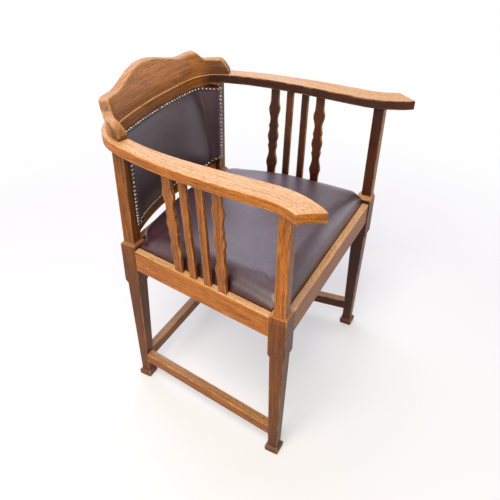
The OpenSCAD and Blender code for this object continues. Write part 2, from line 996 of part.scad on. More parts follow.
module upper_back_rail()
{
  s = stations(0, bow_joint + 14);
  all = concat([for (i = [len(s) - 1:-1:1]) -s[i]], s);
  color(oak) place()
    intersection()
    {
      translate([0, 0, upper_rail_bottom])
        linear_extrude(upper_rail_height)
          polygon(concat(
            [for (v = all) from_inner(v, 1)],
            [for (v = backwards(all)) from_inner(v, 17)]
          ));
      box([0, leg_depth + 30], [2 * post_in, 140], 0, 800);
    }
}

// Front face of the two rails, v is 0 at the lower and 1 at the upper rail
upper_front = [for (r = runs) if (r < bow_half / 2) from_inner(r, 1)];
upper_rear = [for (r = runs) if (r < bow_half / 2) from_inner(r, 17)];
function rails_v(z) = max(0, min(1, (z - lower_rail_top) / (upper_rail_bottom - lower_rail_top)));
function rails_y(x, z) =
  arc_at(x, lower_rail_radius) * (1 - rails_v(z)) + lookup(abs(x), upper_front) * rails_v(z);
function rails_back_y(x, z) =
  arc_at(x, lower_rail_radius + lower_rail_thickness) * (1 - rails_v(z))
  + lookup(abs(x), upper_rear) * rails_v(z);

// Columns from -reach to reach, n on each side and closer towards the ends
function closer(reach, n) = [for (i = [-n:n])
  side(i) * reach * (1 - pow(1 - abs(i) / n, 1.6))];

// Closed sheet: front and rear grids of the same size, [rows][columns]
module sheet(front, rear)
{
  m = len(front[0]);
  n = len(front);
  off = m * n;
  points = concat([for (r = front) each r], [for (r = rear) each r]);
  faces = concat(
    [for (i = [0:n - 2], j = [0:m - 2])
      let (a = i * m + j, b = a + 1, c = a + m, d = c + 1)
      each [
        [a, d, b], [a, c, d],
        [a + off, b + off, d + off], [a + off, d + off, c + off]
      ]],
    [for (j = [0:m - 2])
      let (a = j, b = j + 1, c = (n - 1) * m + j, d = c + 1)
      each [
        [a, b, b + off], [a, b + off, a + off],
        [c, d + off, d], [c, c + off, d + off]
      ]],
    [for (i = [0:n - 2])
      let (a = i * m, b = a + m, c = a + m - 1, d = c + m)
      each [
        [a, b + off, b], [a, a + off, b + off],
        [c, d, d + off], [c, d + off, c + off]
      ]]
  );
  polyhedron(points = points, faces = faces, convexity = 6);
}

module back_board()
{
  xs = closer(post_in - soft_gap, 12);
  zs = [for (i = [0:4]) lower_rail_top + (upper_rail_bottom - lower_rail_top) * i / 4];
  color(oak) place()
    sheet(
      [for (z = zs) [for (x = xs) [x, rails_y(x, z) + 7, z]]],
      [for (z = zs) [for (x = xs) [x, rails_y(x, z) + 12, z]]]
    );
}

// Leather of the back: over the rails, and over the front faces of the posts
hide_thick = 1.8;
cover_out = post_in + 11.5;
cover_bottom = lower_rail_top - 8;
cover_top = bow_under - 5;
wrap_width = 24;
nail_in = 5;
function wrap(x) = rise(max(0, min(1, (abs(x) - post_in + wrap_width) / wrap_width)));
function bulge(x, z) = let (
    u = min(1, abs(x) / post_in),
    v = max(-1, min(1, (z - (cover_top + cover_bottom) / 2)
      / ((cover_top - cover_bottom) / 2 - 2 * nail_in)))
  )
  back_padding_depth * (1 - pow(u, 5)) * (1 - pow(v, 6));
// The leather's lower edge rises beside the posts, and the upper edge is level
function hide_lift(x) = corner_lift * rise(max(0, min(1, (abs(x) - post_in + 36) / 36)));
function lifted(x, z) = z + hide_lift(x) * pow(max(0, min(1, (hide_mid - z) / hide_flat)), 2);
function hide_point(x, z, back) = let (h = lifted(x, z)) [x, hide_y(x, h) + back, h];
function hide_y(x, z) =
  rails_y(min(abs(x), post_in - 1), z) * (1 - wrap(x)) + post_front * wrap(x)
  - soft_gap - hide_thick - bulge(x, z);
hide_right = concat(
  [for (i = [1:8]) (post_in - wrap_width) * i / 8],
  [for (i = [1:9]) post_in - wrap_width * (1 - i / 9)],
  [post_in + nail_in, cover_out]
);
hide_x = concat([for (d = backwards(hide_right)) -d], [0], hide_right);
hide_mid = (cover_top + cover_bottom) / 2;
hide_flat = (cover_top - cover_bottom) / 2 - 2 * nail_in;
hide_up = concat(
  [for (i = [1:5]) hide_flat * pow(i / 5, 0.75)],
  [hide_flat + nail_in, hide_flat + 2 * nail_in]
);
hide_z = concat([for (d = backwards(hide_up)) hide_mid - d], [hide_mid],
  [for (d = hide_up) hide_mid + d]);

module back_leather()
{
  color(hide) place()
    sheet(
      [for (z = hide_z) [for (x = hide_x) hide_point(x, z, 0)]],
      [for (z = hide_z) [for (x = hide_x) hide_point(x, z, hide_thick)]]
    );
}

module back_padding()
{
  xs = closer(post_in - 2, 14);
  zs = [for (i = [0:8])
    let (v = i / 8)
    (lower_rail_top + soft_gap) * (1 - v) + (upper_rail_bottom - soft_gap) * v];
  color([0.8, 0.75, 0.6]) place()
    sheet(
      [for (z = zs) [for (x = xs) [x, hide_y(x, z) + hide_thick + 2 * soft_gap + 2.5, z]]],
      [for (z = zs) [for (x = xs) [x, rails_y(x, z) + 7 - 3 * soft_gap, z]]]
    );
}

module back_cover()
{
  xs = closer(post_in - 1, 14);
  zs = concat(
    [lower_rail_bottom + 4],
    [for (i = [0:4]) lower_rail_top + (upper_rail_bottom - lower_rail_top) * i / 4],
    [bow_under - 1]
  );
  color(hide) place()
    sheet(
      [for (z = zs) [for (x = xs) [x, rails_back_y(x, z) + 4 * soft_gap, z]]],
      [for (z = zs) [for (x = xs) [x, rails_back_y(x, z) + 4 * soft_gap + 1.6, z]]]
    );
}

// Brass nails, each a low eight-sided head facing along the leather
module nail(x, z)
{
  r = nail_head / 2;
  table = [for (v = hide_x) [v, hide_point(v, z, 0)[1]]];
  q = [for (d = [-r, 0, r]) lookup(x + d, table)];
  turn = atan2(q[2] - q[0], 2 * r);
  h = lifted(x, z);
  lean = atan2(hide_y(x, h + 2) - hide_y(x, h - 2), 4);
  sink = max(0, (q[0] + q[2]) / 2 - q[1], q[1] - (q[0] + q[2]) / 2) * cos(turn);
  translate([x, q[1], h])
    rotate([0, 0, turn])
      rotate([90 + lean, 0, 0])
        translate([0, 0, 3 * soft_gap + sink])
          cylinder(h = 2.2, r1 = r, r2 = r / 2, $fn = 8);
}

function row_table(z) = let (
    n = 90,
    q = [for (i = [0:n]) let (x = (post_in + 6) * i / n) [x, hide_y(x, z)]]
  )
  [for (i = 0, d = 0; i <= n;
    d = d + (i < n ? norm(q[i + 1] - q[i]) : 0), i = i + 1) [d, q[i][0]]];

module nail_row(z)
{
  t = row_table(z);
  long = t[len(t) - 1][0];
  n = floor(long / nail_spacing);
  for (i = [-n:n])
    nail(side(i) * lookup(abs(i) * long / n, t), z);
}

nail_top = cover_top - nail_in;
nail_bottom = cover_bottom + nail_in;
module back_nails()
{
  n = floor((nail_top - nail_bottom) / nail_spacing);
  color([0.6, 0.45, 0.2]) place()
  {
    nail_row(nail_top);
    nail_row(nail_bottom);
    for (k = [-1, 1])
      for (i = [1:n - 1])
        nail(k * (post_in + 6), nail_bottom + (nail_top - nail_bottom) * i / n);
  }
}

// Corner blocks and their screws
block_z0 = rail_bottom + 6;
block_z1 = ledge_z - 4;
rail_in_y = -face_out + rail_thickness;
rear_in_y = leg_depth + face_out - rail_thickness;
function side_in_x(y) = fx - y * tan(side_turn) + (face_out - rail_thickness) / cos(side_turn);
screw_z = (block_z0 + block_z1) / 2;
corner_screw = (corner_near + corner_far) / 2 - 2;

module front_screw()
{
  translate([fx - corner_screw, rail_in_y - 16, screw_z])
    rotate([-90, 0, 0])
      children();
}

module front_side_screw()
{
  side_line()
    translate([face_out - rail_thickness + 16, corner_screw, screw_z])
      rotate([0, -90, 0])
        children();
}

module rear_screw()
{
  translate([rx - corner_screw, rear_in_y + 16, screw_z])
    rotate([90, 0, 0])
      children();
}

module rear_side_screw()
{
  side_line()
    translate([face_out - rail_thickness + 16, side_length - corner_screw, screw_z])
      rotate([0, -90, 0])
        children();
}

module pilot(d)
{
  translate([0, 0, -0.5])
    cylinder(h = 18, r = d / 2);
}

module screw_way()
{
  cylinder(h = 30, r = 2.3);
  translate([0, 0, 28])
    cylinder(h = 40, r = 5);
}

module screw()
{
  cylinder(h = 29, r = 2);
  translate([0, 0, 28])
    cylinder(h = 3, r = 4);
}

module corner_screws_front(d)
{
  for (k = [-1, 1])
    sides(k) front_screw() pilot(d);
}

module corner_screws_rear(d)
{
  for (k = [-1, 1])
    sides(k) rear_screw() pilot(d);
}

module corner_screws_side(d)
{
  front_side_screw() pilot(d);
  rear_side_screw() pilot(d);
}

module corner_front()
{
  difference()
  {
    translate([0, 0, block_z0])
      linear_extrude(block_z1 - block_z0)
        polygon([[fx - corner_far, rail_in_y], [fx - corner_near, rail_in_y],
          [side_in_x(corner_near), corner_near], [side_in_x(corner_far), corner_far]]);
    front_screw() screw_way();
    front_side_screw() screw_way();
  }
}

module corner_rear()
{
  y = leg_depth;
  difference()
  {
    translate([0, 0, block_z0])
      linear_extrude(block_z1 - block_z0)
        polygon([[rx - corner_far, rear_in_y], [side_in_x(y - corner_far), y - corner_far],
          [side_in_x(y - corner_near), y - corner_near], [rx - corner_near, rear_in_y]]);
    rear_screw() screw_way();
    rear_side_screw() screw_way();
  }
}

module corner_block_front_left()
{
  color(oak) place() corner_front();
}

module corner_block_front_right()
{
  color(oak) place() sides(-1) corner_front();
}

module corner_block_rear_left()
{
  color(oak) place() corner_rear();
}

module corner_block_rear_right()
{
  color(oak) place() sides(-1) corner_rear();
}

module corner_block_screws()
{
  color([0.5, 0.5, 0.5]) place()
    for (k = [-1, 1])
      sides(k)
      {
        front_screw() screw();
        front_side_screw() screw();
        rear_screw() screw();
        rear_side_screw() screw();
      }
}

// Drop-in seat: half outline [x, y] from front to rear, drawn in by i
seat_front = -face_out + rail_border + seat_gap;
seat_rear = leg_depth + face_out - rail_border - seat_gap;
seat_y = (seat_front + seat_rear) / 2;
notch_fx = fx - half - seat_gap;
notch_fy = half + seat_gap;
notch_rx = rx - half - seat_gap;
notch_ry = leg_depth - half - seat_gap;
function seat_side(y, i) =
  fx - y * tan(side_turn) + (face_out - rail_border - seat_gap - i) / cos(side_turn);
corner_cut = norm([seat_corner_width, seat_corner_depth]);
corner_nx = seat_corner_depth / corner_cut;
corner_ny = seat_corner_width / corner_cut;
function half_outline(i) = [
  [notch_fx - i, seat_front + i], [notch_fx - i, notch_fy + i],
  [seat_side(notch_fy + i, i), notch_fy + i], [seat_side(notch_ry - i, i), notch_ry - i],
  [notch_rx - i, notch_ry - i],
  [notch_rx - i, seat_rear - seat_corner_depth - i * (1 - corner_nx) / corner_ny],
  [notch_rx - seat_corner_width - i * (1 - corner_ny) / corner_nx, seat_rear - i]
];
function seat_outline(i) = concat(
  half_outline(i), [for (p = backwards(half_outline(i))) [-p[0], p[1]]]);
seat_base = ledge_z + soft_gap;
member_top = seat_base + seat_member_height;
member_in = hide_thick + 4 * soft_gap;

module seat_member(y0, y1)
{
  intersection()
  {
    translate([0, 0, seat_base])
      linear_extrude(seat_member_height)
        polygon(seat_outline(member_in));
    box([0, (y0 + y1) / 2], [2 * fx, y1 - y0], 0, 600);
  }
}

module seat_member_front()
{
  color([0.75, 0.6, 0.4]) place()
    seat_member(seat_front, seat_front + seat_member_width);
}

module seat_member_rear()
{
  color([0.75, 0.6, 0.4]) place()
    seat_member(seat_rear - seat_member_width, seat_rear);
}

module seat_member_side()
{
  y0 = seat_front + seat_member_width;
  y1 = seat_rear - seat_member_width;
  x0 = seat_side(y0, member_in);
  x1 = seat_side(y1, member_in);
  translate([0, 0, seat_base])
    linear_extrude(seat_member_height)
      polygon([[x0 - seat_member_width, y0], [x0, y0], [x1, y1],
        [x1 - seat_member_width, y1]]);
}

module seat_member_left()
{
  color([0.75, 0.6, 0.4]) place() seat_member_side();
}

module seat_member_right()
{
  color([0.75, 0.6, 0.4]) place() sides(-1) seat_member_side();
}

module seat_webbing()
{
  color([0.7, 0.6, 0.4]) place()
  {
    for (k = [-1, 0, 1])
    {
      w = 2 * seat_side(seat_y + 90 * k, 30);
      box([0, seat_y + 90 * k], [w, 50], member_top, member_top + 1.2);
    }
    for (k = [-1.5, -0.5, 0.5, 1.5])
      box([k * 78, seat_y], [50, seat_rear - seat_front - 50], member_top + 1.2, member_top + 2.4);
  }
}

// Rays from the middle of the seat to its outline, with and without notches
corner_reach = corner_nx * notch_rx + corner_ny * (seat_rear - seat_corner_depth - seat_y);
function ray_corner(a, i) = let (d = corner_nx * cos(a) + corner_ny * sin(a))
  d > 0.01 ? (corner_reach - i) / d : 9999;
corner_angle = angle_to([notch_rx, seat_rear - seat_corner_depth]) - 0.01;
function ray_open(a, i) = min(
  sin(a) < -0.01 ? (seat_front + i - seat_y) / sin(a) : 9999,
  sin(a) > 0.01 ? (seat_rear - i - seat_y) / sin(a) : 9999,
  cos(a) + sin(a) * tan(side_turn) > 0.01 ?
    seat_side(seat_y, i) / (cos(a) + sin(a) * tan(side_turn)) : 9999
);
function ray_plain(a, i) = min(ray_open(a, i), ray_corner(a, i));
function ray_notched(a, i) = min(
  ray_open(a, i),
  a > corner_angle ? ray_corner(a, i) : 9999,
  sin(a) < -0.01 ? max((notch_fx - i) / max(0.001, cos(a)), (notch_fy + i - seat_y) / sin(a)) : 9999,
  sin(a) > 0.01 ? max((notch_rx - i) / max(0.001, cos(a)), (notch_ry - i - seat_y) / sin(a)) : 9999
);
function angle_to(p) = atan2(p[1] - seat_y, p[0]);
ray_keys = concat([-90], [for (p = half_outline(0)) angle_to(p)], [90]);
ray_steps = [6, 2, 2, 12, 2, 1, 2, 6];
half_angles = [for (k = [0:7], j = [0:ray_steps[k] - 1])
  ray_keys[k] + (ray_keys[k + 1] - ray_keys[k]) * j / ray_steps[k]];
seat_angles = concat(half_angles, [90], [for (a = backwards(half_angles)) if (a > -90) 180 - a]);
function fold(a) = a > 90 ? 180 - a : a;
// Point of a ring t with inset i, lifted by a share of the edge's arch
function edge_arch(a) = seat_edge_arch * pow(cos(2 * a), 2);
function seat_point(a, t, i, z, share) = let (
    b = fold(a),
    k = rise(max(0, min(1, (0.95 - t) / 0.35))),
    r = t * (ray_notched(b, i) * (1 - k) + ray_plain(b, i) * 0.97 * k)
  )
  [r * cos(a), seat_y + r * sin(a), z + share * edge_arch(b)];
function crown_share(t) = pow(min(1, t / 0.97), 2.4);
function crown_z(t) = rail_top + seat_edge_rise + seat_crown * (1 - crown_share(t));

// Solid made of rings [t, z] with an inset i, closed top and bottom
module rings(list, i)
{
  m = len(seat_angles);
  n = len(list);
  points = concat(
    [for (r = list) each [for (a = seat_angles) seat_point(a, r[0], i, r[1], r[2])]],
    [[0, seat_y, list[0][1]], [0, seat_y, list[n - 1][1] + 0.6]]
  );
  faces = concat(
    [for (j = [0:n - 2], k = [0:m - 1])
      let (a = j * m + k, b = j * m + (k + 1) % m)
      each [[a, b + m, b], [a, a + m, b + m]]],
    [for (k = [0:m - 1]) [n * m, k, (k + 1) % m]],
    [for (k = [0:m - 1]) [n * m + 1, (n - 1) * m + (k + 1) % m, (n - 1) * m + k]]
  );
  polyhedron(points = points, faces = faces, convexity = 6);
}

edge_z = rail_top + seat_edge_rise;
function dome(drop, low) = [
  [1, low, 0], [1.0, rail_top + 2, 0], [0.998, edge_z - 18 - drop, 0.7],
  [0.985, edge_z - 7 - drop, 1], [0.955, edge_z - 0.5 - drop, 1],
  for (t = [0.89, 0.78, 0.62, 0.4, 0.12]) [t, crown_z(t) - drop, crown_share(t)]
];

// Closed shell: outer rings going up, then inner rings coming down
module shell(outer, inner)
{
  m = len(seat_angles);
  n = len(outer);
  q = len(inner);
  total = n + q;
  points = concat(
    [for (r = outer) each [for (a = seat_angles) seat_point(a, r[0], 0, r[1], r[2])]],
    [for (r = inner) each [for (a = seat_angles) seat_point(a, r[0], hide_thick, r[1], r[2])]],
    [[0, seat_y, crown_z(0)], [0, seat_y, crown_z(0) - hide_thick]]
  );
  strips = [for (j = [0:total - 2]) if (j != n - 1) j];
  faces = concat(
    [for (j = strips, k = [0:m - 1])
      let (a = j * m + k, b = j * m + (k + 1) % m)
      each [[a, b + m, b], [a, a + m, b + m]]],
    [for (k = [0:m - 1])
      let (a = k, b = (k + 1) % m, c = (total - 1) * m + k, d = (total - 1) * m + (k + 1) % m)
      each [[a, b, d], [a, d, c]]],
    [for (k = [0:m - 1]) [total * m, (n - 1) * m + (k + 1) % m, (n - 1) * m + k]],
    [for (k = [0:m - 1]) [total * m + 1, n * m + k, n * m + (k + 1) % m]]
  );
  polyhedron(points = points, faces = faces, convexity = 6);
}

module seat_leather()
{
  under = dome(hide_thick, seat_base);
  color(hide) place()
    shell(dome(0, seat_base), [for (k = [8, 7, 5, 4, 3, 2, 0]) under[k]]);
}

module seat_padding()
{
  color([0.8, 0.75, 0.6]) place()
    rings(concat(
      [[1, member_top + 2.4 + soft_gap, 0], [1, member_top + 6, 0]],
      [for (k = [3:8]) let (r = dome(hide_thick + 4 * soft_gap, 0)) r[k]]
    ), member_in);
}

cloth_in = 15;
module seat_dust_cloth()
{
  color([0.1, 0.1, 0.1]) place()
    translate([0, 0, seat_base - 0.8])
      linear_extrude(0.8)
        polygon([
          [notch_fx - cloth_in, seat_front + cloth_in],
          [seat_side(notch_fy + 2 * cloth_in, cloth_in), notch_fy + 2 * cloth_in],
          [seat_side(notch_ry - 2 * cloth_in, cloth_in), notch_ry - 2 * cloth_in],
          [notch_rx - cloth_in, seat_rear - cloth_in],
          [-notch_rx + cloth_in, seat_rear - cloth_in],
          [-seat_side(notch_ry - 2 * cloth_in, cloth_in), notch_ry - 2 * cloth_in],
          [-seat_side(notch_fy + 2 * cloth_in, cloth_in), notch_fy + 2 * cloth_in],
          [-notch_fx + cloth_in, seat_front + cloth_in]
        ]);
}

module tack(x, y)
{
  translate([x, y, seat_base - 1.8])
    cylinder(h = 1, r = 3, $fn = 8);
}

module tack_row(reach, y)
{
  n = floor(reach / tack_spacing);
  for (k = [-n:n])
    tack(k * tack_spacing, y);
}

module seat_tacks()
{
  i = cloth_in + 6;
  color([0.2, 0.2, 0.2]) place()
  {
    tack_row(notch_fx - i, seat_front + i);
    tack_row(notch_rx - i, seat_rear - i);
    n = floor((notch_ry - notch_fy) / tack_spacing);
    for (k = [-1, 1])
      for (j = [1:n - 1])
      {
        y = notch_fy + (notch_ry - notch_fy) * j / n;
        tack(k * seat_side(y, i), y);
      }
  }
}

leg_front_left();
leg_front_right();
leg_rear_left();
leg_rear_right();
seat_rail_front();
seat_rail_rear();
seat_rail_left();
seat_rail_right();
stretcher_left();
stretcher_right();
stretcher_rear();
arm_left();
arm_right();
bow_back();
bow_dowels();
crest_rail();
crest_dowels();
slat_rear_left();
slat_plain_rear_left();
slat_plain_front_left();
slat_front_left();
slat_rear_right();
slat_plain_rear_right();
slat_plain_front_right();
slat_front_right();
lower_back_rail();
upper_back_rail();
back_board();
back_padding();
back_leather();
back_cover();
back_nails();
corner_block_front_left();
corner_block_front_right();
corner_block_rear_left();
corner_block_rear_right();
corner_block_screws();
seat_member_front();
seat_member_rear();
seat_member_left();
seat_member_right();
seat_webbing();
seat_padding();
seat_leather();
seat_dust_cloth();
seat_tacks();
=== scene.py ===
"""Looks of an oak tub armchair: waxed oak frame, nailed leather back and
drop-in leather seat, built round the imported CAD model. Metres, +Z up, the
sitter faces -Y and the sitter's left is +X."""

import json
import logging
import math
from dataclasses import dataclass, field
from enum import Enum
from typing import Any

import bmesh
import bpy
import numpy as np
from mathutils import Matrix, Vector

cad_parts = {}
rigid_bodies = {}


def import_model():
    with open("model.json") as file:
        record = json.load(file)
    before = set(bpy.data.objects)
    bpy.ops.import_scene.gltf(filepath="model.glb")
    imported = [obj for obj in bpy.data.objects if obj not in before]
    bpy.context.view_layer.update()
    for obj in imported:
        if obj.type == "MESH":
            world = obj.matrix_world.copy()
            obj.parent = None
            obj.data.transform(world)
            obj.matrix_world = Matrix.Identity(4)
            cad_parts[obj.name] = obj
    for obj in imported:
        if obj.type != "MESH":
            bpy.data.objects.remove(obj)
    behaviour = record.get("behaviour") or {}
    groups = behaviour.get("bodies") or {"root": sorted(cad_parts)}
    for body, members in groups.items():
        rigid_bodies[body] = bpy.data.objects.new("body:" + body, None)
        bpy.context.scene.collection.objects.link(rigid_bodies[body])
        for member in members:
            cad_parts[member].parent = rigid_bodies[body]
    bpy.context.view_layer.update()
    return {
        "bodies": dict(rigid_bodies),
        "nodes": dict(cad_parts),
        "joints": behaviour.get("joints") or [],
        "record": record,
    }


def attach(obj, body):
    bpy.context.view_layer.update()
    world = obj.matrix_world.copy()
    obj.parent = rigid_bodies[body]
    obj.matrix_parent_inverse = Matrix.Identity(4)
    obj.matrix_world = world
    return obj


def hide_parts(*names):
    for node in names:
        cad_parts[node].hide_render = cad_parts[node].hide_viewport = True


# Short names for the types in the hints
Array = np.ndarray
Object = bpy.types.Object
Mesh = bpy.types.Mesh
Node = bpy.types.Node
Socket = bpy.types.NodeSocket
Material = bpy.types.Material
Triple = tuple[float, float, float]
Pair = tuple[float, float]

LOG = logging.getLogger("tub_armchair")
MM = 0.001
FRAME_BODY = "frame"
SEAT_BODY = "seat"


# Sizes


@dataclass(frozen=True)
class Sizes:
    """The chair's sizes in millimetres. Plan places start midway between the front
    legs' centres, with the rear legs a depth behind, and shift_y carries them to
    the row frame. A block is the thick part of a leg, where the rails join."""

    front_x: float = 257.5
    rear_x: float = 200.0
    depth: float = 413.0
    shift_y: float = -211.978
    block: float = 41.0
    block_top: float = 445.0
    rail_top: float = 435.0
    rail_height: float = 56.0
    rail_thickness: float = 26.0
    rail_border: float = 17.5
    ledge: float = 421.0
    face_out: float = 17.5
    bow_top: float = 718.4
    bow_thickness: float = 22.4
    front_post: float = 25.5
    rear_post: float = 29.0
    front_post_x: float = 7.25
    front_post_y: float = -2.75
    soft_gap: float = 0.3

    @property
    def bow_under(self) -> float:
        """Height of the underside of the bow."""
        return self.bow_top - self.bow_thickness

    @property
    def side_turn(self) -> float:
        """Angle of the side rails from straight back, in radians."""
        return math.atan((self.front_x - self.rear_x) / self.depth)

    @property
    def post_in(self) -> float:
        """Distance of the rear posts' inner faces from the middle."""
        return self.rear_x - self.rear_post / 2

    @property
    def post_front(self) -> float:
        """Front face of the rear posts."""
        return self.depth - self.rear_post / 2


SIZE = Sizes()


def folded(angles: Array) -> Array:
    """Angles of the left half plane turned over onto the right one, -180 to 180 degrees."""
    right = np.where(np.cos(angles) < 0, np.pi - angles, angles)
    return (right + np.pi) % (2 * np.pi) - np.pi


def smooth(t: Array | float) -> Array:
    """Half a cosine wave from 0 to 1.

    Args:
        t: Where on the step, clipped to 0 to 1.

    Returns:
        The eased value.
    """
    return (1 - np.cos(np.pi * np.clip(t, 0, 1))) / 2


def ripple(p: Array, waves: list[tuple[float, float, float, float]]) -> Array:
    """Sum of plane sine waves, used as a smooth fixed noise.

    Args:
        p: Points, last axis of two or more coordinates.
        waves: Rows of x frequency, y frequency, phase and height.

    Returns:
        The sum at each point.
    """
    total = np.zeros(p.shape[:-1])
    for fx, fy, phase, height in waves:
        total = total + height * np.sin(fx * p[..., 0] + fy * p[..., 1] + phase)
    return total


def running(points: Array) -> Array:
    """Length along a line of points from its first one, 0 at the start."""
    steps = np.linalg.norm(np.diff(points, axis=0), axis=1)
    return np.concatenate([[0.0], np.cumsum(steps)])


@dataclass
class BowPath:
    """Centre line of the horseshoe bow: a slight curve across the back, a
    corner arc, a side that eases out over the arm, and a flared front."""

    back_radius: float = 1016.0
    back_turn: float = 6.0
    corner_radius: float = 103.0
    corner_turn: float = 72.0
    corner_x: float = 223.0
    corner_y: float = 397.0
    flare_start: float = 40.0
    flare_radius: float = 165.0
    flare_turn: float = 39.0
    widths: tuple[float, float, float, float] = (33.0, 33.4, 38.0, 54.0)
    run: Array = field(init=False)
    table: Array = field(init=False)

    def __post_init__(self) -> None:
        """Works out the table of x, y, heading and width along the left half."""
        rad = np.radians
        a1, a2 = rad(self.back_turn), rad(self.corner_turn)
        cx = self.corner_x - self.corner_radius * (np.sin(a2) - np.sin(a1))
        cy = self.corner_y + self.corner_radius * (np.cos(a1) - np.cos(a2))
        straight = (cx - self.back_radius * np.sin(a1)) / np.cos(a1)
        self.back_y = cy + straight * np.sin(a1) + self.back_radius * (1 - np.cos(a1))
        a = np.linspace(0, a1, 12)
        w0, w1, w2, w3 = self.widths
        across = np.stack([self.back_radius * np.sin(a),
                           self.back_y - self.back_radius * (1 - np.cos(a)),
                           a, np.full_like(a, w0)], 1)
        a = np.linspace(a1, a2, 60)
        corner = np.stack([cx + self.corner_radius * (np.sin(a) - np.sin(a1)),
                           cy - self.corner_radius * (np.cos(a1) - np.cos(a)),
                           a, np.linspace(w1, w2, len(a))], 1)
        t = np.linspace(0, 1, 60)[1:]
        x0, y0, x1, y1 = self.corner_x, self.corner_y, SIZE.front_x, self.flare_start
        run = math.hypot(x1 - x0, y0 - y1)
        h0, h1 = 2 * t**3 - 3 * t**2 + 1, (t**3 - 2 * t**2 + t) * run
        h2, h3 = 3 * t**2 - 2 * t**3, (t**3 - t**2) * run
        d0, d1, d3 = 6 * t**2 - 6 * t, (3 * t**2 - 4 * t + 1) * run, (3 * t**2 - 2 * t) * run
        vx = d0 * (x0 - x1) + d1 * np.cos(a2)
        vy = d0 * (y0 - y1) - d1 * np.sin(a2) - d3
        side = np.stack([h0 * x0 + h1 * np.cos(a2) + h2 * x1,
                         h0 * y0 - h1 * np.sin(a2) + h2 * y1 - h3,
                         np.arctan2(-vy, vx), w2 + (w3 - w2) * h2], 1)
        a = np.pi / 2 - rad(self.flare_turn) * np.linspace(0, 1, 24)[1:]
        flare = np.stack([x1 + self.flare_radius * (1 - np.sin(a)),
                          y1 - self.flare_radius * np.cos(a), a, np.full_like(a, w3)], 1)
        self.table = np.concatenate([across, corner, side, flare])
        self.run = running(self.table[:, :2])

    @property
    def half(self) -> float:
        """Length along the centre line from the middle to the front end."""
        return float(self.run[-1])

    def width(self, s: Array) -> Array:
        """Width of the bow at length s from the middle."""
        return np.interp(np.abs(s), self.run, self.table[:, 3])

    def heading(self, s: Array) -> Array:
        """Heading at length s, 0 across the back and a right angle along the arms."""
        return np.interp(np.abs(s), self.run, self.table[:, 2])

    def inner(self, s: Array, o: Array | float) -> Array:
        """Plan point at signed length s and o outward from the inner edge.

        Args:
            s: Signed lengths from the middle, positive to the sitter's left.
            o: Distance outward from the inner edge.

        Returns:
            Points [x, y] in millimetres.
        """
        s = np.asarray(s, float)
        h = self.heading(s)
        d = o - self.width(s) / 2
        x = np.interp(np.abs(s), self.run, self.table[:, 0]) + d * np.sin(h)
        y = np.interp(np.abs(s), self.run, self.table[:, 1]) + d * np.cos(h)
        return np.stack([np.where(s < 0, -x, x), y], -1)


BOW = BowPath()


# Meshes


def in_frame(points: Array) -> Array:
    """Turns plan millimetres into metres in the row frame."""
    return (points + np.array([0, SIZE.shift_y, 0])) * MM


def read(items: Any, key: str, width: int = 1, kind: type = float) -> Array:
    """Reads one property of every item of a mesh.

    Args:
        items: Its vertices, edges, loops or polygons.
        key: The property.
        width: Numbers in each item's value.
        kind: Type of the numbers.

    Returns:
        Flat array, or one row for each item where the width is over 1.
    """
    out = np.zeros(len(items) * width, kind)
    items.foreach_get(key, out)
    return out.reshape(-1, width) if width > 1 else out


def store(mesh: Mesh, name: str, values: Array, domain: str) -> None:
    """Stores a number for each point or face, which the shaders read by name."""
    layer = mesh.attributes.new(name, "FLOAT", domain)
    layer.data.foreach_set("value", values.astype(np.float32).ravel())


def store_grain(mesh: Mesh, uv: Array) -> None:
    """Stores the grain coordinates [u, v] of each face corner."""
    layer = mesh.uv_layers.get("grain") or mesh.uv_layers.new(name="grain")
    layer.data.foreach_set("uv", uv.astype(np.float32).ravel())


def linked(name: str, data: bpy.types.ID) -> Object:
    """New object in the scene that shows a mesh, lamp or camera.

    Args:
        name: Its name.
        data: What it shows.

    Returns:
        The object.
    """
    obj = bpy.data.objects.new(name, data)
    bpy.context.scene.collection.objects.link(obj)
    return obj


def shaded(name: str, mesh: Mesh, sharp: float) -> Object:
    """New smooth object, with edges that turn by more than sharp degrees left sharp.

    Args:
        name: Its name.
        mesh: Its mesh.
        sharp: Degrees.

    Returns:
        The object.
    """
    mesh.polygons.foreach_set("use_smooth", np.ones(len(mesh.polygons), bool))
    mesh.update()
    mesh.set_sharp_from_angle(angle=math.radians(sharp))
    return linked(name, mesh)


def grid(x: Array, y: Array, z: Array) -> Array:
    """Points [..., 3] of coordinates that are stretched over each other."""
    return np.stack(np.broadcast_arrays(x, y, z), -1)


def signed_volume(mesh: Mesh) -> float:
    """Volume of a closed mesh, negative if its faces point inward.

    Args:
        mesh: The mesh.

    Returns:
        Cubic metres.
    """
    mesh.calc_loop_triangles()
    p = read(mesh.vertices, "co", 3)[read(mesh.loop_triangles, "vertices", 3, int)]
    return float(np.einsum("ij,ij->i", p[:, 0], np.cross(p[:, 1], p[:, 2])).sum() / 6)


def make_object(name: str, verts: Array, faces: list[Array],
                uvs: list[Array] | None = None,
                edge: Array | None = None, sharp: float = 40.0) -> Object:
    """Puts arrays of points and faces into a new mesh object that faces outward.

    Args:
        name: Piece name.
        verts: Points in the row frame, in metres.
        faces: Arrays of vertex numbers, one array for each face size.
        uvs: Arrays like faces with a [u, v] for each corner.
        edge: For each point, 1 on an arris with its line of wear and painted highlight, 0 on a
            flat.
        sharp: Edges that turn by more degrees than this stay sharp.

    Returns:
        The new object.
    """
    mesh = bpy.data.meshes.new(name)
    lists = [tuple(f) for block in faces for f in block.tolist()]
    mesh.from_pydata(verts.tolist(), [], lists)
    if uvs is not None:
        store_grain(mesh, np.concatenate([u.reshape(-1, 2) for u in uvs]))
    if edge is not None:
        store(mesh, "edge", edge, "POINT")
    obj = shaded(name, mesh, sharp)
    if signed_volume(mesh) < 0:
        mesh.flip_normals()
    return obj


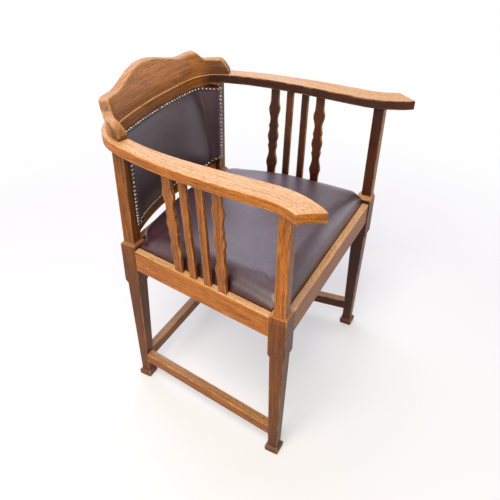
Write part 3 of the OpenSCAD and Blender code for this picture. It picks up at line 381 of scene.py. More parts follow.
def bands(n: int, m: int) -> Array:
    """Quads between n closed rings of m points each, counted ring by ring.

    Args:
        n: Number of rings.
        m: Points in each.

    Returns:
        Vertex numbers [quads, 4].
    """
    i, j = np.indices((n - 1, m))
    a, b = (i * m + j).ravel(), (i * m + (j + 1) % m).ravel()
    return np.stack([a, b, b + m, a + m], 1)


def loft(name: str, rings: Array, edge: Array | None = None,
         offset: Pair = (0.0, 0.0), sharp: float = 40.0) -> Object:
    """Closed skin through rings of points, with a fan to a pole at each end.

    The grain coordinates are metres: u follows the rings' centres and v goes
    round each ring.

    Args:
        name: Piece name.
        rings: Array [stations, points round, 3] in plan millimetres.
        edge: Array [stations, points round] of arris marks, or one row of it.
        offset: Start of the grain coordinates, so that no two pieces match.
        sharp: Edges that turn by more degrees than this stay sharp.

    Returns:
        The new object.
    """
    n, m = rings.shape[:2]
    poles = rings[[0, -1]].mean(1)
    verts = in_frame(np.concatenate([rings.reshape(-1, 3), poles]))
    k = np.arange(m)
    first = np.stack([np.full(m, n * m), (k + 1) % m, k], 1)
    last = np.stack([np.full(m, n * m + 1), (n - 1) * m + k, (n - 1) * m + (k + 1) % m], 1)
    loop = np.concatenate([rings, rings[:, :1]], 1)
    v = np.cumsum(np.linalg.norm(np.diff(loop, axis=1), axis=2), 1)
    v = np.concatenate([np.zeros((n, 1)), v], 1)
    u, v = running(rings.mean(1)) * MM + offset[0], v * MM + offset[1]
    i, j = (axis.ravel() for axis in np.indices((n - 1, m)))
    quad_uv = np.stack([np.stack([u[i + di], v[i + di, j + dj]], 1)
                        for di, dj in ((0, 0), (0, 1), (1, 1), (1, 0))], 1)
    cap_uv = []
    for station, sign in ((0, -1), (-1, 1)):
        x = np.full(m, u[station])
        mid = np.stack([x + sign * 0.01, v[station, :m]], 1)
        here, there = np.stack([x, v[station, :m]], 1), np.stack([x, v[station, 1:]], 1)
        cap_uv.append(np.stack([mid, there, here] if sign < 0 else [mid, here, there], 1))
    marks = None
    if edge is not None:
        marks = np.concatenate([np.broadcast_to(edge, (n, m)).ravel(), [0, 0]])
    faces = [bands(n, m), first, last]
    return make_object(name, verts, faces, [quad_uv, *cap_uv], marks, sharp)


def rounded(half_a: Array, half_b: Array, radius: Array | float,
            flat: int = 3, arc: int = 4) -> tuple[Array, Array]:
    """Rounded rectangles: straight sides joined by quarter circles.

    Args:
        half_a: Half width of each section.
        half_b: Half thickness of each section.
        radius: Corner radius of each section.
        flat: Points inside each straight side.
        arc: Steps of each quarter circle.

    Returns:
        Points [sections, round, 2] and the arris mark of each point round.
    """
    half_a, half_b = np.atleast_1d(half_a).astype(float), np.atleast_1d(half_b).astype(float)
    radius = np.broadcast_to(np.asarray(radius, float), half_a.shape)
    turn = np.linspace(0, np.pi / 2, arc + 1)
    out, marks = [], []
    signs = ((1, -1), (1, 1), (-1, 1), (-1, -1))
    centres = [np.stack([sx * (half_a - radius), sy * (half_b - radius)], -1)
               for sx, sy in signs]
    for q, centre in enumerate(centres):
        t = turn + (q - 1) * np.pi / 2
        spoke = np.stack([np.cos(t), np.sin(t)], -1)
        out.append(centre[:, None] + radius[:, None, None] * spoke)
        marks.append(np.ones(arc + 1))
        start, end = out[-1][:, -1], centres[(q + 1) % 4] + radius[:, None] * spoke[-1]
        near = 1.2 / np.maximum(np.linalg.norm(end - start, axis=1), 1e-6)
        near = np.minimum(near, 0.5 / (flat - 1))[:, None]
        f = np.concatenate([near, np.tile(np.linspace(0, 1, flat)[1:-1], (len(near), 1)),
                            1 - near], 1)[..., None]
        out.append(start[:, None] * (1 - f) + end[:, None] * f)
        marks.append(np.zeros(flat))
    return np.concatenate(out, 1), np.concatenate(marks)


def eased_ends(t: Array, length: float, radius: float) -> tuple[Array, Array]:
    """Adds stations that round off the two ends of a stick.

    Args:
        t: Stations from 0 to 1 along the stick.
        length: Length of the stick.
        radius: Radius of the rounding.

    Returns:
        The new stations and how far the section draws in at each.
    """
    a = np.linspace(0, np.pi / 2, 4)
    head = radius * (1 - np.sin(a)) / length
    draw = radius * (1 - np.cos(a))
    inner = t[(t > radius / length * 1.2) & (t < 1 - radius / length * 1.2)]
    stations = np.concatenate([head[::-1], inner, 1 - head])
    return stations, np.concatenate([draw[::-1], np.zeros(len(inner)), draw])


def outlined(corners: list[Pair], radius: float,
             arc: int = 4) -> tuple[Array, Array]:
    """Polygon whose corners are quarter-turn like arcs.

    Args:
        corners: Corner points, in order.
        radius: Radius of the arcs' start and end from each corner.
        arc: Steps of each arc.

    Returns:
        Points [round, 2] and their arris marks.
    """
    p = np.array(corners, float)
    before, after = np.roll(p, 1, 0), np.roll(p, -1, 0)
    back = (before - p) / np.linalg.norm(before - p, axis=1)[:, None]
    ahead = (after - p) / np.linalg.norm(after - p, axis=1)[:, None]
    t = np.linspace(0, 1, arc + 1)[None, :, None]
    start, end = p + back * radius, p + ahead * radius
    bends = (1 - t) ** 2 * start[:, None] + 2 * t * (1 - t) * p[:, None] + t**2 * end[:, None]
    after = np.roll(start, -1, 0)
    near = np.minimum(0.3, 1.5 / np.linalg.norm(after - end, axis=1))[:, None]
    f = np.concatenate([near, 1 - near], 1)[..., None]
    ring = np.concatenate([bends, end[:, None] * (1 - f) + after[:, None] * f], 1)
    marks = np.concatenate([np.ones(arc + 1), np.zeros(2)])
    return ring.reshape(-1, 2), np.tile(marks, len(p))


def oblong(near: float, far: float, low: float, high: float,
           radius: float) -> tuple[Array, Array]:
    """Outline and arris marks of an upright oblong section with eased corners."""
    return outlined([(near, low), (far, low), (far, high), (near, high)], radius)


# Shaders


def linear(code: str) -> tuple[float, float, float, float]:
    """Linear colour of an sRGB hex code.

    Args:
        code: Six hex digits.

    Returns:
        Red, green, blue and 1.
    """
    c = np.array([int(code[i:i + 2], 16) for i in (0, 2, 4)]) / 255
    c = np.where(c <= 0.04045, c / 12.92, ((c + 0.055) / 1.055) ** 2.4)
    return float(c[0]), float(c[1]), float(c[2]), 1.0


@dataclass
class Nodes:
    """The node tree of a material or world, with short ways to add and join nodes."""

    owner: Material | bpy.types.World
    tree: bpy.types.NodeTree = field(init=False)

    def __post_init__(self) -> None:
        """Clears the tree for the nodes to come."""
        self.owner.use_nodes = True
        self.tree = self.owner.node_tree
        self.tree.nodes.clear()

    def show(self, node: Node, kind: str = "Material") -> None:
        """Adds the output and joins a shader to it."""
        self.add("Output" + kind, {0: node.outputs[0]})

    def add(self, kind: str, inputs: dict[str | int, Any] | None = None,
            **settings: Any) -> Node:
        """Adds a node.

        Args:
            kind: Node type without its ShaderNode prefix.
            inputs: Value or output socket for each named or numbered input.
            settings: Properties of the node.

        Returns:
            The node.
        """
        node = self.tree.nodes.new("ShaderNode" + kind)
        for key, value in settings.items():
            setattr(node, key, value)
        for key, value in (inputs or {}).items():
            self.join(node, key, value)
        return node

    def join(self, node: Node, key: str | int, value: Any) -> None:
        """Links an output socket to an input, or sets the input's value.

        Args:
            node: The node.
            key: Name or number of the input.
            value: Output socket or value.
        """
        if isinstance(value, Socket):
            self.tree.links.new(value, node.inputs[key])
        else:
            node.inputs[key].default_value = value

    def principled(self, **inputs: Any) -> Node:
        """Adds a Principled shader; underscores in the names stand for spaces."""
        named = {key.replace("_", " "): value for key, value in inputs.items()}
        return self.add("BsdfPrincipled", named)

    def surface(self, **inputs: Any) -> Material:
        """The finished material, with one Principled shader as its surface."""
        self.show(self.principled(**inputs))
        return self.owner

    def scaled(self, vector: Socket,
               scale: Triple) -> Socket:
        """Vector stretched by a Mapping node."""
        return self.add("Mapping", {"Vector": vector, "Scale": scale}).outputs[0]

    def noise(self, vector: Socket, scale: float, detail: float = 3.0,
              rough: float = 0.55, distort: float = 0.0) -> Socket:
        """Value of a Noise texture."""
        return self.add("TexNoise", {"Vector": vector, "Scale": scale, "Detail": detail,
                                     "Roughness": rough, "Distortion": distort}).outputs[0]

    def ramp(self, value: Socket, low: float, high: float,
             to_low: float = 0.0, to_high: float = 1.0) -> Socket:
        """Value stretched from one range to another, with soft ends.

        Args:
            value: The value.
            low: Where the first range starts.
            high: Where it ends.
            to_low: Start of the second range.
            to_high: Its end.

        Returns:
            The stretched value.
        """
        return self.add("MapRange", {"Value": value, "From Min": low, "From Max": high,
                                     "To Min": to_low, "To Max": to_high},
                        interpolation_type="SMOOTHSTEP").outputs[0]

    def math(self, kind: str, a: Any, b: Any = 0.0) -> Socket:
        """Result of a Math node."""
        return self.add("Math", {0: a, 1: b}, operation=kind).outputs[0]

    def blend(self, factor: Any, a: Any, b: Any, mode: str = "MIX") -> Socket:
        """Colour mix of a and b by a factor.

        Args:
            factor: Share of b.
            a: First colour.
            b: Second colour.
            mode: How the Mix node blends them.

        Returns:
            The mixed colour.
        """
        node = self.add("Mix", data_type="RGBA", blend_type=mode)
        for index, value in ((0, factor), (6, a), (7, b)):
            self.join(node, index, value)
        return node.outputs[2]

    def bump(self, height: Socket, depth: float,
             normal: Socket | None = None) -> Socket:
        """Normal of a bump whose full height is depth metres.

        Args:
            height: Height from 0 to 1.
            depth: Full height in metres.
            normal: Normal of a coarser bump below it.

        Returns:
            The normal.
        """
        inputs: dict[str | int, Any] = {"Height": height, "Strength": 1.0, "Distance": depth}
        if normal is not None:
            inputs["Normal"] = normal
        return self.add("Bump", inputs).outputs[0]


@dataclass(frozen=True)
class Oak:
    """Waxed old oak: dark open pores and streaks along the grain; upward faces
    paler from fading and painted top light; thin golden lines along the edges
    from rubbed wear and painted highlight; and a soft polish. The legs and slats
    keep more of the dark stain; the same dark tone below the seat and on faces
    turned in at the sitter or out sideways is painted shade."""

    name: str = "waxed_oak"
    dark: str = "6e300a"
    mid: str = "b5661a"
    light: str = "d99237"
    # Top tones: faded wood plus painted top light on upward faces.
    faded: str = "dfb184"
    streaked: str = "cf9450"
    # Dark stain colour, also used for painted shade.
    stain: str = "341206"
    # Edge line colour: rubbed wear plus painted highlight.
    worn: str = "e8b06a"
    fleck: str = "5e2c0e"
    pore: str = "261006"
    # Strength of the edge lines of wear and painted highlight.
    wear: float = 0.4
    coat: float = 0.05

    def make(self) -> Material:
        """Builds the material on the grain coordinates, u along and v across.

        Returns:
            The material.
        """
        n = Nodes(bpy.data.materials.new(self.name))
        uv = n.add("UVMap", uv_map="grain").outputs[0]
        drift = n.noise(n.scaled(uv, (4, 16, 1)), 1.0, 3, 0.6)
        bands = n.noise(n.scaled(uv, (8, 190, 1)), 1.0, 4, 0.62, 0.3)
        fine = n.noise(n.scaled(uv, (26, 900, 1)), 1.0, 3, 0.6, 0.2)
        dashes = n.ramp(n.noise(n.scaled(uv, (100, 430, 1)), 1.0, 2, 0.6, 0.1), 0.55, 0.66)
        pores = n.ramp(n.noise(n.scaled(uv, (95, 1900, 1)), 1.0, 2, 0.5, 0.1), 0.58, 0.70)
        side = n.blend(n.ramp(bands, 0.34, 0.66), linear(self.dark), linear(self.mid))
        side = n.blend(n.ramp(fine, 0.40, 0.70, 0.0, 0.6), side, linear(self.light))
        # Paler top tone from fading and painted top light, mixed in on upward faces.
        top = n.blend(n.ramp(bands, 0.32, 0.62), linear(self.streaked), linear(self.faded))
        up = n.add("Attribute", attribute_name="upward").outputs[2]
        tone = n.blend(n.math("MULTIPLY", up, n.ramp(drift, 0.2, 0.5, 0.7, 1.0)), side, top)
        # Stain plus painted shade below the seat, on inward faces and on sideways ends.
        stain = n.add("Attribute", attribute_name="stain").outputs[2]
        stained = n.math("MULTIPLY", stain, n.ramp(drift, 0.3, 0.7, 1.0, 0.75))
        tone = n.blend(stained, tone, linear(self.stain))
        # Lighter lines on the arrises: rubbed wear plus painted highlight.
        edge = n.add("Attribute", attribute_name="edge").outputs[2]
        rub = n.noise(n.scaled(uv, (30, 90, 1)), 1.0, 4, 0.65)
        worn = n.math("MULTIPLY", edge, n.ramp(rub, 0.40, 0.64, 0.0, self.wear))
        tone = n.blend(worn, tone, linear(self.worn))
        tone = n.blend(n.math("MULTIPLY", dashes, 0.5), tone, linear(self.fleck))
        tone = n.blend(n.math("MULTIPLY", pores, 0.85), tone, linear(self.pore))
        height = n.math("SUBTRACT", n.math("MULTIPLY", fine, 0.4), pores)
        return n.surface(Base_Color=tone, Roughness=n.ramp(fine, 0.3, 0.7, 0.36, 0.52),
                         Normal=n.bump(height, 0.00016), Specular_IOR_Level=0.25,
                         Coat_Weight=self.coat, Coat_Roughness=0.2)


@dataclass(frozen=True)
class Hide:
    """Old aubergine-brown upholstery leather, smooth and polished: fine pebbled
    grain, faint creases and slightly paler patches where it is rubbed."""

    name: str = "aged_leather"
    deep: str = "2a1315"
    body: str = "47222a"
    rubbed: str = "5c3c44"
    roughness: float = 0.44
    coat: float = 0.7

    def make(self) -> Material:
        """Builds the material on Object coordinates, scales in real millimetres.

        Returns:
            The material.
        """
        n = Nodes(bpy.data.materials.new(self.name))
        at = n.add("TexCoord").outputs["Object"]
        pebble = n.add("TexVoronoi", {"Vector": at, "Scale": 620.0}, feature="DISTANCE_TO_EDGE")
        pebbles = n.ramp(pebble.outputs[0], 0.0, 0.30)
        creases = n.noise(n.scaled(at, (1, 1.7, 1)), 55.0, 5, 0.6, 1.2)
        patches = n.noise(at, 9.0, 4, 0.6, 0.3)
        scuffs = n.noise(n.scaled(at, (1, 1, 2)), 130.0, 3, 0.6)
        tone = n.blend(n.ramp(creases, 0.35, 0.65), linear(self.deep), linear(self.body))
        tone = n.blend(n.ramp(patches, 0.42, 0.70, 0.0, 0.4), tone, linear(self.rubbed))
        tone = n.blend(n.ramp(pebbles, 0.0, 1.0, 0.35, 0.0), tone, linear(self.deep))
        tone = n.blend(n.ramp(scuffs, 0.64, 0.80, 0.0, 0.25), tone, linear(self.rubbed))
        low = n.bump(creases, 0.0003)
        normal = n.bump(pebbles, 0.00006, low)
        rough = n.math("ADD", n.ramp(patches, 0.3, 0.7, 0.05, -0.05), self.roughness)
        return n.surface(Base_Color=tone, Roughness=rough, Normal=normal, Sheen_Weight=0.05,
                         Sheen_Roughness=0.4, Sheen_Tint=linear("c9bccb"), Coat_Weight=self.coat,
                         Coat_Roughness=0.33, Coat_Tint=linear("f0ecf6"))


@dataclass(frozen=True)
class Metal:
    """Metal with a soft tarnish that is cloudy over millimetres."""

    name: str
    bright: str
    dull: str
    roughness: float = 0.3
    grain: float = 400.0

    def make(self) -> Material:
        """Builds the material on Object coordinates.

        Returns:
            The material.
        """
        n = Nodes(bpy.data.materials.new(self.name))
        at = n.add("TexCoord").outputs["Object"]
        cloud = n.noise(at, self.grain, 4, 0.6)
        tone = n.blend(n.ramp(cloud, 0.35, 0.66), linear(self.dull), linear(self.bright))
        rough = n.math("ADD", n.ramp(cloud, 0.3, 0.7, 0.14, 0.0), self.roughness)
        return n.surface(Base_Color=tone, Metallic=1.0, Roughness=rough,
                         Normal=n.bump(cloud, 0.00008))


@dataclass(frozen=True)
class Weave:
    """Plain-woven cloth: threads over and under, with slubs in the thread."""

    name: str
    thread: str
    shade: str
    pitch: float = 0.0012
    roughness: float = 0.9

    def make(self) -> Material:
        """Builds the material on Object coordinates, threads at the real pitch.

        Returns:
            The material.
        """
        n = Nodes(bpy.data.materials.new(self.name))
        at = n.add("TexCoord").outputs["Object"]
        split = n.add("SeparateXYZ", {0: at})
        turn = 2 * math.pi / self.pitch
        across = n.math("SINE", n.math("MULTIPLY", split.outputs[0], turn))
        along = n.math("SINE", n.math("MULTIPLY", split.outputs[1], turn))
        weave = n.math("MULTIPLY", across, along)
        slub = n.noise(n.scaled(at, (40, 900, 900)), 1.0, 3, 0.6)
        mix = n.math("ADD", n.math("MULTIPLY", weave, 0.25), slub)
        tone = n.blend(n.ramp(mix, 0.2, 0.8), linear(self.shade), linear(self.thread))
        return n.surface(Base_Color=tone, Roughness=self.roughness, Normal=n.bump(mix, 0.0002))


@dataclass(frozen=True)
class Beech:
    """Unpolished beech of the hidden frame members: pale, with short flecks."""

    name: str = "raw_beech"
    light: str = "c9a273"
    dark: str = "a47a4c"

    def make(self) -> Material:
        """Builds the material on Object coordinates.

        Returns:
            The material.
        """
        n = Nodes(bpy.data.materials.new(self.name))
        at = n.add("TexCoord").outputs["Object"]
        streak = n.noise(n.scaled(at, (9, 160, 160)), 1.0, 4, 0.6)
        fleck = n.noise(n.scaled(at, (160, 900, 900)), 1.0, 2, 0.5)
        tone = n.blend(n.ramp(streak, 0.3, 0.7), linear(self.dark), linear(self.light))
        tone = n.blend(n.ramp(fleck, 0.62, 0.72, 0.0, 0.5), tone, linear("8a5f38"))
        return n.surface(Base_Color=tone, Roughness=0.62, Normal=n.bump(fleck, 0.00008))


class Slot(Enum):
    """Material slots of the record."""

    OAK = "oak"
    BEECH = "beech"
    BACK = "back_leather"
    SEAT = "seat_leather"
    NAILS = "nails"
    STEEL = "steel"
    PADDING = "padding"
    WEBBING = "webbing"
    DUST = "dust_cloth"


FINISHES: dict[Slot, Any] = {
    Slot.OAK: Oak(),
    Slot.BEECH: Beech(),
    Slot.BACK: Hide("aged_back_leather", "220f10", "401c23", "56363e", coat=0.8),
    Slot.SEAT: Hide("aged_seat_leather"),
    Slot.NAILS: Metal("worn_nickel_brass", "bdb2a2", "40362c", 0.17, 500.0),
    Slot.STEEL: Metal("screw_steel", "8d8d8a", "4c4a48", 0.34, 700.0),
    Slot.PADDING: Weave("padding_felt", "d6c9a8", "a8976f", 0.004),
    Slot.WEBBING: Weave("jute_webbing", "b8935c", "7b5a30", 0.0018),
    Slot.DUST: Weave("black_cotton", "2c2b2b", "121111", 0.0009),
}


# Pieces


@dataclass
class Kit:
    """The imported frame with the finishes, and what every piece needs done."""

    frame: dict[str, Any]
    # Painted shade: inward faces are darkened to this level, and faces below seat_line get each
    # piece's below-seat shade.
    inner: float = 1.15
    seat_line: float = 0.43
    paints: dict[Slot, Material] = field(default_factory=dict)

    def __post_init__(self) -> None:
        """Makes each slot's material and paints the CAD nodes with it."""
        self.paints = {slot: finish.make() for slot, finish in FINISHES.items()}
        for part in self.frame["record"]["subparts"]:
            node, slot = self.frame["nodes"][part["node"]], Slot(part["material_slot"])
            self.paint(node, slot)
            if slot is Slot.OAK:
                self.grain(node.data)

    def paint(self, obj: Object, slot: Slot) -> None:
        """Gives an object the material of its slot and no other."""
        obj.data.materials.clear()
        obj.data.materials.append(self.paints[slot])

    def finish(self, obj: Object, slot: Slot, body: str,
               *nodes: str, stain: Pair = (0.05, 0.05), fade: float = 1.0,
               ends: float = 0.0, worn: float = 0.0) -> Object:
        """Gives a piece its material, body and the CAD nodes it stands for.

        Args:
            obj: The piece.
            slot: Its material slot.
            body: The body it rides on.
            nodes: CAD nodes that it replaces.
            stain: How dark the stain and painted shade on oak are below the seat and above it.
            fade: How much paler its upward faces are, from fading and painted top light, 0 to 1.
            ends: Painted shade on the faces that look out sideways; where given, also the painted
                shade of faces turned in at the sitter.
            worn: How much of that paler top tone the other faces get.

        Returns:
            The piece.
        """
        self.paint(obj, slot)
        if slot is Slot.OAK:
            self.weather(obj.data, stain, fade, ends, worn)
        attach(obj, body)
        if nodes:
            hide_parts(*nodes)
        LOG.info("%s: %d faces", obj.name, len(obj.data.polygons))
        return obj

    def weather(self, mesh: Mesh, stain: Pair, fade: float,
                ends: float, worn: float) -> None:
        """Marks how pale each upward face is, from fading and painted top light,
        and how dark its stain and painted shade are: painted shade falls below the
        seat, on faces that look in at the sitter and on faces that look out sideways.

        Args:
            mesh: Mesh of the piece.
            stain: See finish.
            fade: See finish.
            ends: See finish.
            worn: See finish.
        """
        x, _, z = read(mesh.polygons, "center", 3).T
        across, along, upward = read(mesh.polygons, "normal", 3).T
        # Painted top light: upward faces get the paler top tone, the other faces a share of it.
        up = worn + (fade - worn) * smooth((upward - 0.25) / 0.6)
        # Painted shade: darker below the seat line, on faces turned in at the sitter and on faces
        # that look out sideways, over each piece's stain.
        inward = smooth((-across * np.sign(x) - 0.3) / 0.5) * smooth(np.abs(x) / 0.1 - 1)
        high = smooth((z - self.seat_line) / 0.02)
        dark = stain[0] * (1 - high) + stain[1] * high
        inner = ends or self.inner
        dark = dark + (inner - dark) * inward * (dark < inner)
        sideways = across * np.sign(x) - 0.5 * along
        dark = np.maximum(dark, ends * smooth((sideways - 0.5) / 0.3))
        store(mesh, "upward", up, "FACE")
        store(mesh, "stain", dark, "FACE")

    def grain(self, mesh: Mesh) -> None:
        """Adds grain coordinates along the longest side of a mesh's box.

        Args:
            mesh: The mesh.
        """
        co = read(mesh.vertices, "co", 3)
        long, wide, thin = np.argsort(np.ptp(co, axis=0))[::-1]
        p = co[read(mesh.loops, "vertex_index", kind=int)]
        store_grain(mesh, np.stack([p[:, long], p[:, wide] + 0.7 * p[:, thin]], 1))

    def oak(self, name: str, work: str, rings: Array, marks: Array,
            offset: Pair, sharp: float = 40.0, **look: Any) -> None:
        """Lofts an oak piece of the fixed frame and finishes it.

        Args:
            name: CAD node that it replaces.
            work: How it was made, which ends the piece's name.
            rings: Its rings in plan millimetres.
            marks: Arris marks.
            offset: Start of the grain coordinates.
            sharp: Edges that turn by more degrees than this stay sharp.
            look: What finish takes of stain and fading.
        """
        obj = loft(f"{name}_{work}", rings, marks, offset, sharp)
        self.finish(obj, Slot.OAK, FRAME_BODY, name, **look)

    def worked(self, node: str, name: str, width: float, slot: Slot, body: str,
               least: float = 3.0) -> Object:
        """Copy of a CAD node, merged and with its long sharp edges eased.

        Args:
            node: CAD node that the piece replaces.
            name: Name of the piece.
            width: Width of the eased edges in millimetres.
            slot: Material slot.
            body: Body it rides on.
            least: Shortest edge, in millimetres, that is eased.

        Returns:
            The piece.
        """
        mesh = self.frame["nodes"][node].data.copy()
        mesh.name = name
        bm = bmesh.new()
        bm.from_mesh(mesh)
        bmesh.ops.remove_doubles(bm, verts=bm.verts, dist=2e-6)
        bmesh.ops.dissolve_limit(bm, angle_limit=math.radians(1), verts=bm.verts,
                                 edges=bm.edges, delimit=set())
        edges = [e for e in bm.edges if len(e.link_faces) == 2
                 and e.calc_face_angle() > math.radians(25) and e.calc_length() > least * MM]
        bmesh.ops.bevel(bm, geom=edges, offset=width * MM, offset_type="OFFSET", segments=2,
                        profile=0.5, affect="EDGES", clamp_overlap=True)
        bmesh.ops.triangulate(bm, faces=[f for f in bm.faces if len(f.verts) > 4])
        bm.to_mesh(mesh)
        bm.free()
        if slot is Slot.OAK:
            self.grain(mesh)
        return self.finish(shaded(name, mesh, 34), slot, body, node)


SIDES = (("left", 1), ("right", -1))


def mirrored(rings: Array, side: int) -> Array:
    """Rings laid out on the sitter's left, or their mirror image on the right.

    Args:
        rings: Rings on the left.
        side: 1 for left or -1 for right.

    Returns:
        The rings of that side.
    """
    out = rings.copy()
    out[..., 0] *= side
    return out


@dataclass
class Leg:
    """A square leg: flared foot, taper, a collar of three arched reeds cut in
    each face, the block for the rails, a sloped shoulder and the arm post.

    The surface is rings of a rounded square at each height z. In the collar
    each face is pressed in by the difference between the square's half width
    and depth(x, z), where each reed reaches down to its own arc."""

    end: str
    collar: float = 334.0
    rise: float = 12.0
    drop: float = 3.4
    reeds: Triple = (41.0, 38.6, 36.4)
    upper: float = 34.0
    lower: float = 23.5
    foot: float = 35.5
    foot_height: float = 18.4
    shoulder: float = 6.0
    arris: float = 1.3
    reed_cut: float = 0.9
    flat: int = 30
    arc: int = 4

    def shaft(self, z: Array) -> Array:
        """Half width of the foot and shaft at height z.

        Args:
            z: Heights.

        Returns:
            The half width at each.
        """
        knee = self.foot_height * 0.72
        keys = [0, 1.2, knee - 0.6, knee, knee + 0.5, self.foot_height - 0.4,
                self.foot_height, self.foot_height + 0.5, self.collar + 2]
        eased = np.array([2.3, 1.4, 0.2, 0.1, 0.4, 3.4, 3.9])
        return np.interp(z, keys, [*(self.foot / 2 - eased), self.lower / 2, self.upper / 2])

    def depth(self, x: Array, z: Array) -> Array:
        """Distance of a face from the leg's centre at x across it and height z.

        Args:
            x: Places across the face.
            z: Heights.

        Returns:
            The distances.
        """
        out = self.shaft(z)
        half = [self.upper / 2, *(w / 2 for w in reversed(self.reeds))]
        for k, w in zip((2, 1, 0), reversed(self.reeds)):
            r = (w * w / 4 + self.rise**2) / (2 * self.rise)
            top = self.collar + self.rise - k * self.drop
            arch = top - r + np.sqrt(np.maximum(r * r - np.minimum(np.abs(x), w / 2) ** 2, 0))
            step = half[3 - k] - half[2 - k]
            out = out + step * np.clip((z - arch) / self.reed_cut, 0, 1)
        return out

    def rings(self) -> Array:
        """Rings of the leg about its own centre, from the floor to the bow.

        Returns:
            Rings in millimetres, not yet moved to their corner.
        """
        z = np.concatenate([
            [0, 0.5, 1.2, 4, 9], self.foot_height * 0.72 + np.array([-0.6, 0, 0.5]),
            [16, 17.6], self.foot_height + np.array([0, 0.5, 4]), np.linspace(50, 320, 10),
            np.arange(self.collar - 9, self.collar + self.rise + 1.8, 0.6),
            [352, 370, 400, 430], SIZE.block_top + np.array([-1.6, -0.8, -0.2, 0.3]),
            SIZE.block_top + self.shoulder + np.array([-0.4, 0.4, 2]),
            np.linspace(470, 680, 6), [SIZE.bow_under + 0.4]])
        block = z >= self.collar + self.rise + 1.5
        corner = self.depth(np.full(len(z), self.reeds[0] / 2), z)
        post = SIZE.front_post if self.end == "front" else SIZE.rear_post
        top = SIZE.block_top
        lift = top + np.array([-1.6, -0.8, -0.2, 0.3, self.shoulder - 0.2, self.shoulder + 0.4])
        eased = SIZE.block / 2 - np.array([0, 0.2, 0.7, 1.3])
        half = np.interp(z, lift, [*eased, post / 2 + 0.2, post / 2])
        corner = np.where(block, half, corner)
        share = np.interp(z, [top, top + self.shoulder], [0, 1])
        ring, _ = rounded(corner, corner, self.arris, self.flat, self.arc)
        x, y = ring[..., 0], ring[..., 1]
        zz = np.broadcast_to(z[:, None], x.shape)
        cc = corner[:, None]
        wide = np.abs(x) > np.abs(y)
        across = np.where(wide, np.abs(y), np.abs(x)) * (self.reeds[0] / 2) / cc
        dent = np.maximum(np.where(block[:, None], 0, cc - self.depth(across, zz)), 0)
        x = np.where(wide, np.sign(x) * (np.abs(x) - dent), x)
        y = np.where(wide, y, np.sign(y) * (np.abs(y) - dent))
        if self.end == "front":
            x = x + SIZE.front_post_x * share[:, None]
            y = y + SIZE.front_post_y * share[:, None]
        return np.stack([x, y, zz], -1)

    def build(self, kit: Kit) -> None:
        """Makes the left and right legs of this end of the chair.

        Args:
            kit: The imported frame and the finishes.
        """
        rings = self.rings()
        _, marks = rounded(10, 10, self.arris, self.flat, self.arc)
        centre = np.array([SIZE.front_x, 0, 0] if self.end == "front"
                          else [SIZE.rear_x, SIZE.depth, 0])
        # The legs get stain plus painted shade below the seat, the rear posts above it too, and
        # less painted top light.
        for k, (word, side) in enumerate(SIDES):
            offset = (1.3 * k + (2.6 if self.end == "front" else 0), 0.37 * k)
            kit.oak(f"leg_{self.end}_{word}", "carved", mirrored(rings + centre, side),
                    marks, offset, fade=0.6,
                    stain=(0.85, 0.05 if self.end == "front" else 0.6))


@dataclass
class SeatRails:
    """Four seat rails with a rebate for the drop-in seat, and three stretchers.
    Each is one section drawn along a straight line between the legs."""

    arris: float = 1.6
    bar_arris: float = 2.2
    let_in: float = 3.0
    tenon: float = 10.0
    stations: int = 9
    stretcher: Triple = (22.0, 55.0, 84.0)

    def section(self) -> tuple[Array, Array]:
        """Section of a rail: distance outward from the leg line, and height.

        Returns:
            Points and their arris marks.
        """
        out, top = SIZE.face_out, SIZE.rail_top
        inner, border = out - SIZE.rail_thickness, out - SIZE.rail_border
        low = top - SIZE.rail_height
        return outlined([(inner, low), (out, low), (out, top), (border, top),
                         (border, SIZE.ledge), (inner, SIZE.ledge)], self.arris)

    def across(self, section: Array, y: float, turn: int, reach: float) -> Array:
        """Rings of a rail or stretcher that runs from right to left.

        Args:
            section: Points [outward, height].
            y: Depth of the leg line.
            turn: -1 if outward is forward, 1 if it is back.
            reach: Half length.

        Returns:
            Rings in plan millimetres.
        """
        x = np.linspace(-reach, reach, self.stations)[:, None]
        return grid(x, y + turn * section[:, 0], section[:, 1])

    def along(self, section: Array, margin: float, side: int) -> Array:
        """Rings of one that runs from front to back, a margin short of both leg lines.

        Args:
            section: Points [outward, height].
            margin: Length left free.
            side: 1 for left or -1 for right.

        Returns:
            Rings in plan millimetres.
        """
        y = np.linspace(margin, SIZE.depth - margin, self.stations)[:, None]
        turn = SIZE.side_turn
        x = SIZE.front_x - y * math.tan(turn) + section[:, 0] / math.cos(turn)
        return mirrored(grid(x, y, section[:, 1]), side)

    def build(self, kit: Kit) -> None:
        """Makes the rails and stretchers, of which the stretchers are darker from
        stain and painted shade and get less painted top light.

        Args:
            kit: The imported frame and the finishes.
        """
        section, marks = self.section()
        half = SIZE.block / 2 - self.let_in
        w, low, top = self.stretcher
        bar, bar_marks = oblong(-w / 2, w / 2, low, top, self.bar_arris)
        pieces = [("seat_rail_front", self.across(section, 0, -1, SIZE.front_x - half), 4.1),
                  ("seat_rail_rear", self.across(section, SIZE.depth, 1, SIZE.rear_x - half), 5.3),
                  ("stretcher_rear", self.across(bar, SIZE.depth, 1, SIZE.rear_x - self.tenon),
                   6.2)]
        for k, (word, side) in enumerate(SIDES):
            pieces += [(f"seat_rail_{word}", self.along(section, half, side), 7.1 + k),
                       (f"stretcher_{word}", self.along(bar, self.tenon, side), 9.4 + k)]
        # Stretchers get stain plus painted shade below the seat and less painted top light.
        for name, rings, start in pieces:
            dark = name.startswith("stretcher")
            kit.oak(name, "planed", rings, bar_marks if dark else marks, (start, start),
                    stain=(0.35 if dark else 0.0, 0.05), fade=0.6 if dark else 1.0)


